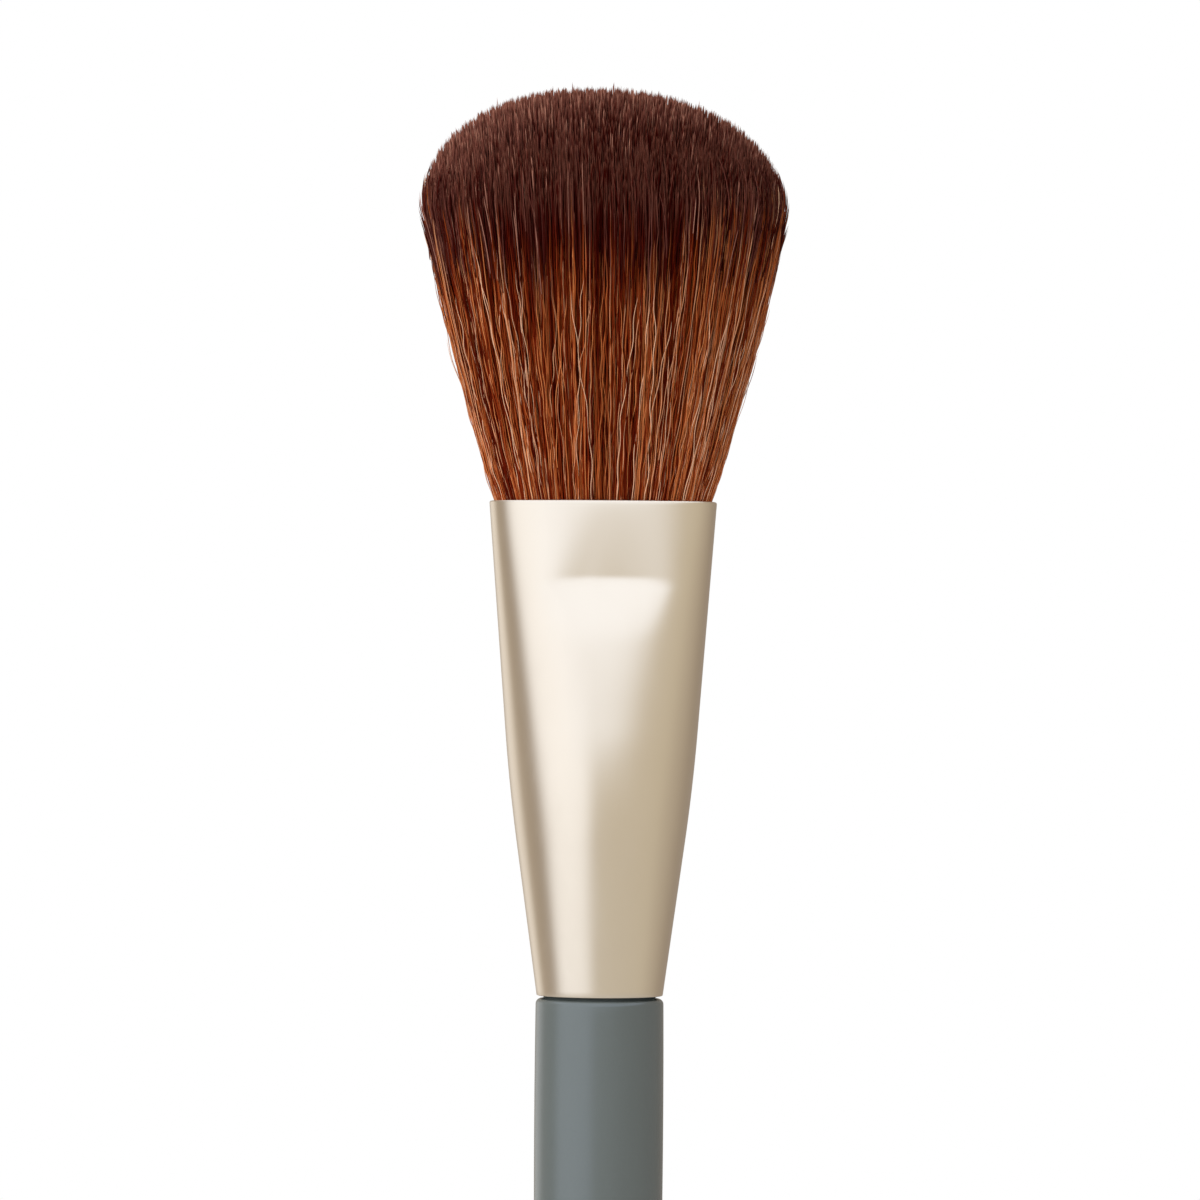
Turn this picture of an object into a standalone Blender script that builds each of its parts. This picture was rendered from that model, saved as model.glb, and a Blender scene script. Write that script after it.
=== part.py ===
"""Powder brush: a turned handle, a pressed oval ferrule and a domed tuft of bristles.

Lengths are in metres and +Z is up. The brush stands upright on the small flat end of
its handle, bristles up, with the ferrule's pressed faces towards -Y and +Y. The origin
is the centre of the handle's end.
"""

import math

import bmesh
import bpy
import numpy as np
from mathutils import Vector
from mathutils.geometry import interpolate_bezier

# Clearances
FIT_GAP = 0.0003
SEAM_GAP = 0.0003

# Ferrule: a seamless tube, a cone up to the knee and a pressed oval from there to the mouth
FERRULE_LENGTH = 0.0533
FERRULE_WALL = 0.00045
FERRULE_END_RADIUS = 0.0068
KNEE_HEIGHT = 0.0227
KNEE_RADIUS = 0.00993
KNEE_BLEND = 0.0012
MOUTH_HALF_WIDTH = 0.0123
MOUTH_HALF_DEPTH = 0.0071
RIM_ROUND = 0.00012

# Pressed band under the mouth, on both faces
BAND_HEIGHT = 0.0081
BAND_SINK = 0.0004
BAND_LEDGE = 0.0005
BAND_HALF_WIDTH = 0.0062
BAND_SIDE_FADE = 0.0022

# Handle: the body that shows
HANDLE_LENGTH = 0.0970
HANDLE_OVERHANG = 0.0001
HANDLE_SHOULDER_ROUND = 0.0006
HANDLE_BELLY_RADIUS = 0.0072
HANDLE_BELLY_DROP = 0.0300
HANDLE_TAIL_RADIUS = 0.0064
HANDLE_TAIL_HEIGHT = 0.0360
HANDLE_END_RADIUS = 0.0047
HANDLE_END_HEIGHT = 0.0050
HANDLE_FLAT_RADIUS = 0.0022

# Handle: the tenon inside the ferrule, with grooves that key the glue
TENON_LENGTH = 0.0170
TENON_CHAMFER = 0.0008
GROOVE_COUNT = 2
GROOVE_HEIGHT = 0.0016
GROOVE_DEPTH = 0.0006

# Glue: the sleeve round the tenon, and the plug that lies over an air space above it
SLEEVE_EDGE = 0.0003
SLEEVE_DROP = 0.0015
AIR_SPACE = 0.0043
PLUG_THICKNESS = 0.0060

# Thread wound round the tuft's root
THREAD_DIAMETER = 0.0005
THREAD_PITCH = 0.0010
THREAD_TURNS = 3
ROOT_EDGE_MARGIN = 0.0006

# Tuft
BRISTLE_COUNT = 435
BRISTLE_SIDES = 3
BRISTLE_HEIGHT = 0.0447
HEAD_HALF_WIDTH = 0.0200
HEAD_HALF_DEPTH = 0.0130
HEAD_WIDEST_HEIGHT = 0.0315
HEAD_LEAN = 0.0011
LEAN_START_HEIGHT = 0.0200
BRISTLE_MOUTH_RADIUS = 0.00022
BRISTLE_BEND_RADIUS = 0.00047
BRISTLE_UNEVENNESS = 0.0010
BRISTLE_BEND_SHARE = 0.74

# Powers of the curves: the ferrule's plan (2 is an ellipse), the tuft's fan, dome and lean
MOUTH_POWER = 2.45
BAND_POWER = 2.0
FAN_POWER = 1.25
DOME_POWER = 2.18
LEAN_POWER = 3
GOLDEN_ANGLE = math.pi * (3 - math.sqrt(5))
GOLDEN_SHARE = (math.sqrt(5) - 1) / 2

# Fineness of the meshes
TURNED_STEPS = 40
OVAL_STEPS = 56
KNEE_RINGS = 4
PRESSED_RINGS = 5
BAND_RINGS = 5
PLUG_RINGS = 5
THREAD_POINTS_PER_TURN = 24
BODY_POINTS = 10
SHOULDER_POINTS = 4
END_POINTS = 7
CRISP_ANGLE = math.radians(35)
RIM_ANGLE = math.radians(60)
MERGE_DISTANCE = 0.00001

# Places worked out from the sizes above, the ferrule's own measured up from its lower end
FERRULE_BASE = HANDLE_LENGTH + SEAM_GAP
CONE_RISE = (KNEE_RADIUS - FERRULE_END_RADIUS) / KNEE_HEIGHT
PRESSED_LENGTH = FERRULE_LENGTH - KNEE_HEIGHT
BAND_FOOT = FERRULE_LENGTH - BAND_HEIGHT
NECK_RADIUS = FERRULE_END_RADIUS + HANDLE_OVERHANG
TENON_RADIUS = FERRULE_END_RADIUS - FERRULE_WALL - FIT_GAP
TENON_TOP = TENON_LENGTH - SEAM_GAP
SLEEVE_TOP = TENON_TOP - SLEEVE_DROP
SLEEVE_BASE = (FIT_GAP + SLEEVE_EDGE) / CONE_RISE
PLUG_BASE = TENON_TOP + AIR_SPACE
PLUG_TOP = PLUG_BASE + PLUG_THICKNESS
ROOT_BASE = PLUG_TOP + FIT_GAP
ROOT_TOP = ROOT_BASE + THREAD_TURNS * THREAD_PITCH + THREAD_DIAMETER + 2 * ROOT_EDGE_MARGIN
ROOT_INSET = FERRULE_WALL + BAND_SINK + THREAD_DIAMETER + 2 * FIT_GAP


def clear_scene():
    """Remove every object that the scene starts with."""
    for obj in list(bpy.data.objects):
        bpy.data.objects.remove(obj, do_unlink=True)


def make_collection(name):
    """Add a collection to the scene."""
    collection = bpy.data.collections.new(name)
    bpy.context.scene.collection.children.link(collection)
    return collection


def make_material(name, colour, roughness, metallic):
    """A Principled material of one colour."""
    material = bpy.data.materials.new(name)
    material.use_nodes = True
    material.diffuse_color = (*colour, 1.0)
    shader = material.node_tree.nodes["Principled BSDF"]
    shader.inputs["Base Color"].default_value = (*colour, 1.0)
    shader.inputs["Roughness"].default_value = roughness
    shader.inputs["Metallic"].default_value = metallic
    return material


def handle_lacquer():
    """Satin grey-green lacquer on the handle."""
    return make_material("handle_lacquer", (0.15, 0.17, 0.165), 0.38, 0.0)


def champagne_metal():
    """Satin anodised aluminium, champagne gold."""
    return make_material("champagne_metal", (0.72, 0.62, 0.48), 0.3, 1.0)


def bristle_fibre():
    """Dyed brown fibre."""
    return make_material("bristle_fibre", (0.10, 0.03, 0.016), 0.45, 0.0)


def amber_glue():
    """Cured amber glue."""
    return make_material("amber_glue", (0.55, 0.42, 0.22), 0.25, 0.0)


def waxed_thread():
    """Waxed off-white thread."""
    return make_material("waxed_thread", (0.68, 0.63, 0.52), 0.7, 0.0)


def link_object(name, data, collection, material, height):
    """An object that carries the data, its own zero standing at a height on the axis."""
    data.materials.append(material)
    obj = bpy.data.objects.new(name, data)
    obj.location = (0.0, 0.0, height)
    collection.objects.link(obj)
    return obj


def link_bmesh(name, bm, collection, material, height):
    """An object made of a bmesh whose faces are turned to point out."""
    bmesh.ops.recalc_face_normals(bm, faces=bm.faces)
    mesh = bpy.data.meshes.new(name)
    bm.to_mesh(mesh)
    bm.free()
    return link_object(name, mesh, collection, material, height)


def shade_round(obj):
    """Smooth shading that keeps the turned and pressed edges crisp."""
    obj.data.shade_smooth()
    obj.data.set_sharp_from_angle(angle=CRISP_ANGLE)


def keep_evaluated(obj):
    """Replace an object's data with the mesh that its modifiers make."""
    bpy.context.view_layer.update()
    depsgraph = bpy.context.evaluated_depsgraph_get()
    mesh = bpy.data.meshes.new_from_object(obj.evaluated_get(depsgraph), depsgraph=depsgraph)
    obj.modifiers.clear()
    obj.data = mesh


def rounded(centre, radii, start, end, points):
    """Points of an elliptical arc in the (radius, height) plane, its angles in degrees."""
    angles = np.radians(np.linspace(start, end, points))
    return [(centre[0] + radii[0] * math.cos(a), centre[1] + radii[1] * math.sin(a)) for a in angles]


def turned(name, outline, is_ring, collection, material, height):
    """A solid turned about Z from (radius, height) points that run down its outer side."""
    bm = bmesh.new()
    verts = [bm.verts.new((radius, 0.0, level)) for radius, level in outline]
    for first, second in zip(verts, verts[1:]):
        bm.edges.new((first, second))
    if is_ring:
        bm.edges.new((verts[-1], verts[0]))
    mesh = bpy.data.meshes.new(name)
    bm.to_mesh(mesh)
    bm.free()
    obj = link_object(name, mesh, collection, material, height)
    screw = obj.modifiers.new("turn", "SCREW")
    screw.steps = TURNED_STEPS
    screw.render_steps = TURNED_STEPS
    screw.use_merge_vertices = True
    screw.merge_threshold = MERGE_DISTANCE
    keep_evaluated(obj)
    shade_round(obj)
    return obj


def loft(bm, rings, is_capped, tip=None):
    """Join rings of equally many points with quads, with end caps or a pointed tip if asked."""
    loops = [[bm.verts.new(point) for point in ring] for ring in rings]
    for lower, upper in zip(loops, loops[1:]):
        for i, vert in enumerate(lower):
            after = (i + 1) % len(lower)
            bm.faces.new((vert, lower[after], upper[after], upper[i]))
    if tip is not None:
        point = bm.verts.new(tip)
        last = loops[-1]
        for i, vert in enumerate(last):
            bm.faces.new((vert, last[(i + 1) % len(last)], point))
    elif is_capped:
        bm.faces.new(loops[-1])
    if is_capped:
        bm.faces.new(reversed(loops[0]))


def past_knee(height):
    """How far a height lies past the knee, eased by a parabola across the blend."""
    into_blend = height - KNEE_HEIGHT + KNEE_BLEND
    if into_blend <= 0.0:
        return 0.0
    if into_blend >= 2 * KNEE_BLEND:
        return height - KNEE_HEIGHT
    return into_blend * into_blend / (4 * KNEE_BLEND)


def plan_at(height):
    """The ferrule's outer half width, half depth and plan power at a height of its own."""
    past = past_knee(height)
    radius = FERRULE_END_RADIUS + CONE_RISE * height
    half_width = radius + past * ((MOUTH_HALF_WIDTH - KNEE_RADIUS) / PRESSED_LENGTH - CONE_RISE)
    half_depth = radius + past * ((MOUTH_HALF_DEPTH - KNEE_RADIUS) / PRESSED_LENGTH - CONE_RISE)
    power = 2 + (MOUTH_POWER - 2) * past / PRESSED_LENGTH
    return half_width, half_depth, power


def oval_points(height, inset, angles):
    """Points of the ferrule's superelliptic plan, an inset inside its outer surface."""
    half_width, half_depth, power = plan_at(height)
    across, deep = np.cos(angles), np.sin(angles)
    x = (half_width - inset) * np.sign(across) * np.abs(across) ** (2 / power)
    y = (half_depth - inset) * np.sign(deep) * np.abs(deep) ** (2 / power)
    return np.column_stack((x, y, np.full(len(angles), height)))


def oval_ring(height, inset):
    """One closed ring of the plan."""
    return oval_points(height, inset, np.arange(OVAL_STEPS) * 2 * math.pi / OVAL_STEPS)


def band_sink(height):
    """Depth of the pressed band: none at the mouth, deepest at its foot, then a ledge."""
    above_foot = height - BAND_FOOT
    if above_foot >= 0.0:
        return BAND_SINK * ((BAND_HEIGHT - above_foot) / BAND_HEIGHT) ** BAND_POWER
    return BAND_SINK * max(0.0, (BAND_LEDGE + above_foot) / BAND_LEDGE)


def pressed_ring(height):
    """A ring of the ferrule's skin, pushed in on both faces across the band's width."""
    ring = oval_ring(height, 0.0)
    inside = (BAND_HALF_WIDTH + BAND_SIDE_FADE / 2 - np.abs(ring[:, 0])) / BAND_SIDE_FADE
    share = np.clip(inside, 0, 1)
    ring[:, 1] -= np.sign(ring[:, 1]) * band_sink(height) * share * share * (3 - 2 * share)
    return ring


def ferrule_levels():
    """Heights of the skin's rings: close together at the knee and in the band."""
    knee = np.linspace(KNEE_HEIGHT - KNEE_BLEND, KNEE_HEIGHT + KNEE_BLEND, KNEE_RINGS)
    pressed = np.linspace(KNEE_HEIGHT + KNEE_BLEND, BAND_FOOT - BAND_LEDGE, PRESSED_RINGS)
    band = np.linspace(BAND_FOOT, FERRULE_LENGTH, BAND_RINGS)
    return [0.0, *knee, *pressed[1:], *band]


def build_ferrule(parts):
    """The thin metal tube: a lofted skin given its wall inwards, with burnished rims."""
    bm = bmesh.new()
    loft(bm, [pressed_ring(height) for height in ferrule_levels()], False)
    ferrule = link_bmesh("ferrule", bm, parts, champagne_metal(), FERRULE_BASE)
    wall = ferrule.modifiers.new("wall", "SOLIDIFY")
    wall.thickness = FERRULE_WALL
    wall.offset = -1
    wall.use_even_offset = True
    rims = ferrule.modifiers.new("rims", "BEVEL")
    rims.width = RIM_ROUND
    rims.segments = 1
    rims.limit_method = "ANGLE"
    rims.angle_limit = RIM_ANGLE
    keep_evaluated(ferrule)
    shade_round(ferrule)
    return ferrule


def tenon_side(gap):
    """The tenon's grooved side, from top to bottom, a gap outside its own surface."""
    side = []
    grooves = np.linspace(FERRULE_BASE + SLEEVE_TOP, FERRULE_BASE + SLEEVE_BASE, GROOVE_COUNT + 2)
    for middle in grooves[1:-1]:
        half = GROOVE_HEIGHT / 2 - gap
        side += [
            (TENON_RADIUS + gap, middle + half + GROOVE_DEPTH),
            (TENON_RADIUS + gap - GROOVE_DEPTH, middle + half),
            (TENON_RADIUS + gap - GROOVE_DEPTH, middle - half),
            (TENON_RADIUS + gap, middle - half - GROOVE_DEPTH),
        ]
    return side


def shoulder_round():
    """The rounded shoulder that meets the ferrule's lower end."""
    centre = (NECK_RADIUS - HANDLE_SHOULDER_ROUND, HANDLE_LENGTH - HANDLE_SHOULDER_ROUND)
    return rounded(centre, (HANDLE_SHOULDER_ROUND, HANDLE_SHOULDER_ROUND), 90, 0, SHOULDER_POINTS)


def body_curve():
    """The body's long curve: a slight belly below the shoulder, then a taper to the end."""
    points = interpolate_bezier(
        Vector((NECK_RADIUS, HANDLE_LENGTH - HANDLE_SHOULDER_ROUND)),
        Vector((HANDLE_BELLY_RADIUS, HANDLE_LENGTH - HANDLE_BELLY_DROP)),
        Vector((HANDLE_TAIL_RADIUS, HANDLE_TAIL_HEIGHT)),
        Vector((HANDLE_END_RADIUS, HANDLE_END_HEIGHT)),
        BODY_POINTS,
    )
    return [tuple(point) for point in points[1:-1]]


def end_round():
    """The rounded end of the handle, down to its small flat."""
    centre = (HANDLE_FLAT_RADIUS, HANDLE_END_HEIGHT)
    radii = (HANDLE_END_RADIUS - HANDLE_FLAT_RADIUS, HANDLE_END_HEIGHT)
    return rounded(centre, radii, 0, -90, END_POINTS)


def build_handle(parts):
    """The turned handle, in one piece with its tenon."""
    top = FERRULE_BASE + TENON_TOP
    tenon = [
        (0.0, top),
        (TENON_RADIUS - TENON_CHAMFER, top),
        (TENON_RADIUS, top - TENON_CHAMFER),
        *tenon_side(0.0),
        (TENON_RADIUS, HANDLE_LENGTH),
    ]
    outline = tenon + shoulder_round() + body_curve() + end_round() + [(0.0, 0.0)]
    return turned("handle", outline, False, parts, handle_lacquer(), 0.0)


def build_tenon_glue(parts):
    """The sleeve of glue that fills the cone round the tenon and keys into its grooves."""
    inner = TENON_RADIUS + FIT_GAP
    inset = FERRULE_WALL + FIT_GAP
    ends = (SLEEVE_TOP, SLEEVE_BASE)
    outer_side = [(plan_at(level)[0] - inset, FERRULE_BASE + level) for level in ends]
    inner_side = [(inner, FERRULE_BASE + level) for level in ends]
    outline = outer_side + inner_side[1:] + tenon_side(FIT_GAP)[::-1] + inner_side[:1]
    return turned("tenon_glue", outline, True, parts, amber_glue(), 0.0)


def build_root_glue(parts):
    """The plug of glue cast across the ferrule under the bristles' root."""
    bm = bmesh.new()
    levels = np.linspace(PLUG_BASE, PLUG_TOP, PLUG_RINGS)
    loft(bm, [oval_ring(level, FERRULE_WALL + FIT_GAP) for level in levels], True)
    plug = link_bmesh("root_glue", bm, parts, amber_glue(), FERRULE_BASE)
    shade_round(plug)
    return plug


def thread_route():
    """A helix round the root slice: the plan's outline, climbing one pitch a turn."""
    steps = THREAD_TURNS * THREAD_POINTS_PER_TURN
    radius = THREAD_DIAMETER / 2
    low = ROOT_BASE + ROOT_EDGE_MARGIN + radius
    points = []
    for step in range(steps + 1):
        turn = step / THREAD_POINTS_PER_TURN
        angle = np.array([turn * 2 * math.pi])
        points.append(oval_points(low + turn * THREAD_PITCH, ROOT_INSET - FIT_GAP - radius, angle)[0])
    return np.array(points)


def print_least_gap(route):
    """Print the least clear distance between one turn of the thread and the next."""
    turn = THREAD_POINTS_PER_TURN
    spans = [np.linalg.norm(route[i + turn // 2 + 1:] - point, axis=1) for i, point in enumerate(route)]
    least = min(span.min() for span in spans if len(span)) - THREAD_DIAMETER
    print(f"least gap between turns of the thread: {1000 * least:.2f} mm")


def build_binding_thread(parts):
    """The thread wound in open turns round the root slice, as one unbroken tube."""
    route = thread_route()
    print_least_gap(route)
    curve = bpy.data.curves.new("binding_thread", "CURVE")
    curve.dimensions = "3D"
    curve.bevel_depth = THREAD_DIAMETER / 2
    curve.bevel_resolution = 1
    curve.use_fill_caps = True
    spline = curve.splines.new("POLY")
    spline.points.add(len(route) - 1)
    for point, place in zip(spline.points, route):
        point.co = (*place, 1.0)
    return link_object("binding_thread", curve, parts, waxed_thread(), FERRULE_BASE)


def fan_share(above_mouth):
    """How much of its spread the tuft has at a height above the mouth, from 0 to 1."""
    short_of_widest = max(0.0, 1 - above_mouth / HEAD_WIDEST_HEIGHT)
    return 1 - short_of_widest ** FAN_POWER


def fan_sizes(height):
    """Half width and half depth of the bundle at a height: straight inside, fanned above."""
    mouth = np.array((MOUTH_HALF_WIDTH, MOUTH_HALF_DEPTH)) - FERRULE_WALL - FIT_GAP
    if height >= FERRULE_LENGTH:
        head = np.array((HEAD_HALF_WIDTH, HEAD_HALF_DEPTH))
        return mouth + (head - mouth) * fan_share(height - FERRULE_LENGTH)
    root = np.array(plan_at(ROOT_TOP)[:2]) - ROOT_INSET
    return root + (mouth - root) * (height - ROOT_TOP) / (FERRULE_LENGTH - ROOT_TOP)


def dome_height(share):
    """Height above the mouth of the domed top, at a share of the head's half width."""
    dome = BRISTLE_HEIGHT - HEAD_WIDEST_HEIGHT
    return HEAD_WIDEST_HEIGHT + dome * (1 - share ** DOME_POWER) ** (1 / DOME_POWER)


def bristle_centre(place, radius, height):
    """Where a bristle's middle lies at a height: inside the bundle, leaning to -X above."""
    x, y = place * (fan_sizes(height) - radius)
    climb = (height - FERRULE_LENGTH - LEAN_START_HEIGHT) / (BRISTLE_HEIGHT - LEAN_START_HEIGHT)
    return x - HEAD_LEAN * max(0.0, climb) ** LEAN_POWER, y


def add_bristle(bm, index):
    """One pointed bristle: its place in the bundle follows a sunflower's spiral."""
    share = math.sqrt((index + 0.5) / BRISTLE_COUNT)
    turn = index * GOLDEN_ANGLE
    place = share * np.array((math.cos(turn), math.sin(turn)))
    length = dome_height(share) - BRISTLE_UNEVENNESS * (index * GOLDEN_SHARE % 1)
    levels = (
        (ROOT_TOP - ROOT_EDGE_MARGIN, BRISTLE_MOUTH_RADIUS),
        (FERRULE_LENGTH, BRISTLE_MOUTH_RADIUS),
        (FERRULE_LENGTH + BRISTLE_BEND_SHARE * length, BRISTLE_BEND_RADIUS),
    )
    corners = turn + np.arange(BRISTLE_SIDES) * 2 * math.pi / BRISTLE_SIDES
    rings = []
    for height, radius in levels:
        x, y = bristle_centre(place, radius, height)
        rings.append([(x + radius * math.cos(a), y + radius * math.sin(a), height) for a in corners])
    tip_height = FERRULE_LENGTH + length
    loft(bm, rings, True, (*bristle_centre(place, 0, tip_height), tip_height))


def build_bristle_tuft(parts, tools):
    """The tuft: bristles joined to the slice of set fibres at their root."""
    fibre = bristle_fibre()
    bm = bmesh.new()
    for index in range(BRISTLE_COUNT):
        add_bristle(bm, index)
    bristles = link_bmesh("bristles", bm, tools, fibre, FERRULE_BASE)
    bristles.hide_render = True
    bristles.display_type = "WIRE"
    bm = bmesh.new()
    loft(bm, [oval_ring(level, ROOT_INSET) for level in (ROOT_BASE, ROOT_TOP)], True)
    tuft = link_bmesh("bristle_tuft", bm, parts, fibre, FERRULE_BASE)
    join = tuft.modifiers.new("join_bristles", "BOOLEAN")
    join.operation = "UNION"
    join.object = bristles
    return tuft


def main():
    """Build the brush from the handle up, and hang every piece on one empty."""
    clear_scene()
    parts = make_collection("powder_brush")
    tools = make_collection("powder_brush_tools")
    root = bpy.data.objects.new("brush_origin", None)
    parts.objects.link(root)
    pieces = [
        build_handle(parts),
        build_tenon_glue(parts),
        build_ferrule(parts),
        build_root_glue(parts),
        build_binding_thread(parts),
        build_bristle_tuft(parts, tools),
    ]
    for piece in pieces:
        piece.parent = root


main()
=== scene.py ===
"""Powder brush in a plain studio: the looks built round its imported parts.

Lengths are in metres and +Z is up. The brush stands on the small flat end of its handle,
bristles up, with the ferrule's pressed faces towards -Y and +Y, and the camera looks
along +Y. Each class holds the sizes of one sub-assembly and makes and dresses its pieces.
"""

import logging
import math
from dataclasses import dataclass
from enum import Enum
from typing import Any

import bpy
import numpy as np
from mathutils import Matrix, Vector


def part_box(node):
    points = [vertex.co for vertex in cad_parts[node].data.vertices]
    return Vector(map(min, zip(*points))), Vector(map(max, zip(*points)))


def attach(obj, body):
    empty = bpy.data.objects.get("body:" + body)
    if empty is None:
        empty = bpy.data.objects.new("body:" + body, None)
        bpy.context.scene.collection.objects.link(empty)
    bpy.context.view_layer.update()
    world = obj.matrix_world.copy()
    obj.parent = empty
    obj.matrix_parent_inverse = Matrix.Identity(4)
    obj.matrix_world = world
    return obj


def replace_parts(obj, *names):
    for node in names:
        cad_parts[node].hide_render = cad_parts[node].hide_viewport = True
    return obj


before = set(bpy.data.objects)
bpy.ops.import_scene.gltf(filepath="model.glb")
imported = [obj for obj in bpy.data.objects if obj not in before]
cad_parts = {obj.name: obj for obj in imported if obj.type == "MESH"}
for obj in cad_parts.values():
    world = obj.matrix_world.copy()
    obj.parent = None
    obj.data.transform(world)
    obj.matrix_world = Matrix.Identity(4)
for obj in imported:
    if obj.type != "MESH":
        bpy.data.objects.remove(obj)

BODY = "root"
SEAM_GAP = 0.0003
FULL_TURN = 2 * math.pi
GOLDEN_ANGLE = math.pi * (3 - math.sqrt(5))
WHITE = (1.0, 1.0, 1.0)

# Strands: corners of a tube, and the steps of their numbers, which are also the map's columns
SIDES = 3
SHADE_STEPS = 12
EDGE_STEPS = 10
EDGE_LOW = 0.4
EDGE_SPAN = 0.8
ALL_DYED = -1.0
UNDYED = 1.19
COLUMN_MARGIN = 0.12
MAP_MARGIN = 0.01
ROOT_ACROSS = (0.9, 0.5, 0.1)
ROOT_UP = (0.0, 0.012, 0.0)

Array = np.ndarray
Faces = list[list[int]]
Material = bpy.types.Material
Piece = bpy.types.Object
Pair = tuple[float, float]
Colour = tuple[float, float, float]
Stops = tuple[tuple[float, Colour], ...]
Waves = tuple[tuple[int, int, float], ...]
Chance = np.random.Generator
Inputs = dict[str, Any]
log = logging.getLogger("powder_brush")


class Slot(Enum):
    """The record's material slots for a piece's finish; no piece here is given one."""

    LACQUER = "handle_lacquer"
    METAL = "champagne_metal"
    FIBRE = "bristle_fibre"


class Socket:
    """One output of a node, with arithmetic that adds Math nodes behind it."""

    def __init__(self, recipe: "Recipe", output: bpy.types.NodeSocket) -> None:
        """Keep the recipe that the output belongs to."""
        self.recipe = recipe
        self.output = output

    def out(self, name: str | int) -> "Socket":
        """An output of the same node, by name or number."""
        return Socket(self.recipe, self.output.node.outputs[name])

    def __add__(self, other: "Socket | float") -> "Socket":
        """Add a value or another output."""
        return self.recipe.maths("ADD", self, other)

    def __sub__(self, other: "Socket | float") -> "Socket":
        """Take a value or another output away."""
        return self.recipe.maths("SUBTRACT", self, other)

    def __rsub__(self, other: float) -> "Socket":
        """Take this output away from a value."""
        return self.recipe.maths("SUBTRACT", other, self)

    def __mul__(self, other: "Socket | float") -> "Socket":
        """Multiply by a value or another output."""
        return self.recipe.maths("MULTIPLY", self, other)

    __radd__ = __add__
    __rmul__ = __mul__


@dataclass(frozen=True)
class Grain:
    """A noise: cells to a metre, finer layers, their strength, and how far height counts."""

    cells: float
    detail: float = 2.0
    strength: float = 0.5
    upright: float = 1.0


class Recipe:
    """The node tree of a material or of the world, put together node by node."""

    def __init__(self, owner: bpy.types.ID) -> None:
        """Start an empty tree in a material or a world."""
        owner.use_nodes = True
        self.tree = owner.node_tree
        self.tree.nodes.clear()

    def node(
        self, kind: str, inputs: Inputs | None = None, stops: Stops = (), **settings: str
    ) -> Socket | None:
        """Add one node.

        Args:
            kind: the node's type, without the ShaderNode that each begins with.
            inputs: values or outputs for its sockets, by name or number.
            stops: a ramp's places and colours, in rising order.
            settings: its own properties.

        Returns:
            Its first output, if it has any.
        """
        made = self.tree.nodes.new("ShaderNode" + kind)
        for name, value in settings.items():
            setattr(made, name, value)
        for _ in stops[2:]:
            made.color_ramp.elements.new(1.0)
        for number, (place, colour) in enumerate(stops):
            made.color_ramp.elements[number].position = place
            made.color_ramp.elements[number].color = (*colour, 1.0)
        for name, value in (inputs or {}).items():
            socket = made.inputs[name]
            if isinstance(value, Socket):
                self.tree.links.new(value.output, socket)
            else:
                socket.default_value = (*value, 1.0) if socket.type == "RGBA" else value
        return Socket(self, made.outputs[0]) if made.outputs else None

    def maths(self, operation: str, first: Socket | float, second: Socket | float) -> Socket:
        """The result of one Math node."""
        return self.node("Math", {0: first, 1: second}, operation=operation)

    def smooth_step(self, value: Socket, low: float, high: float) -> Socket:
        """0 below low, 1 above high and a soft step between them."""
        inputs = {"Value": value, "From Min": low, "From Max": high}
        return self.node("MapRange", inputs, interpolation_type="SMOOTHSTEP")

    def mix(self, share: Socket, first: Colour | Socket, second: Colour | Socket) -> Socket:
        """The first colour at share 0, the second at share 1."""
        return self.node("Mix", {0: share, 6: first, 7: second}, data_type="RGBA").out(2)

    def blend(self, first: Socket, second: Socket, share: float) -> Socket:
        """A share of the first number and the rest of the second."""
        return first * share + second * (1 - share)

    def tint(self, colour: Socket, share: Socket) -> Socket:
        """A colour made darker or lighter by a factor that varies."""
        return self.node("VectorMath", {0: colour, "Scale": share}, operation="SCALE")

    def place(self, upright: float = 1.0) -> Socket:
        """The point on the object, in metres, with its height times a share."""
        point = self.node("TexCoord").out("Object")
        return self.node("Mapping", {"Vector": point, "Scale": (1.0, 1.0, upright)})

    def noise(self, grain: Grain, point: Socket | None = None) -> Socket:
        """Noise from 0 to 1, at the point on the object if none is given."""
        inputs = {"Vector": point or self.place(grain.upright), "Scale": grain.cells}
        inputs |= {"Detail": grain.detail, "Roughness": grain.strength}
        return self.node("TexNoise", inputs)

    def bump(self, height: Socket, depth: float, strength: float) -> Socket:
        """A normal pushed about by a height, with its depth in metres."""
        return self.node("Bump", {"Height": height, "Distance": depth, "Strength": strength})


@dataclass(frozen=True)
class Finish:
    """A finish: the sizes and colours of its pattern, and the shader that they feed.

    The relief is the depth of its bumps, in metres, and their strength.
    """

    name: str
    roughness: float
    relief: Pair = (0.0, 0.0)

    def inputs(self, recipe: Recipe) -> Inputs:
        """What feeds the Principled shader.

        Args:
            recipe: the material's recipe.

        Returns:
            Values and outputs, by the names of the shader's inputs.
        """
        raise NotImplementedError

    def surface(self, recipe: Recipe) -> Socket:
        """The whole shader."""
        return recipe.node("BsdfPrincipled", self.inputs(recipe))

    def material(self) -> Material:
        """The finish as a material of its own.

        Returns:
            The material.
        """
        made = bpy.data.materials.new(self.name)
        recipe = Recipe(made)
        recipe.node("OutputMaterial", {"Surface": self.surface(recipe)})
        return made


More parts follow.
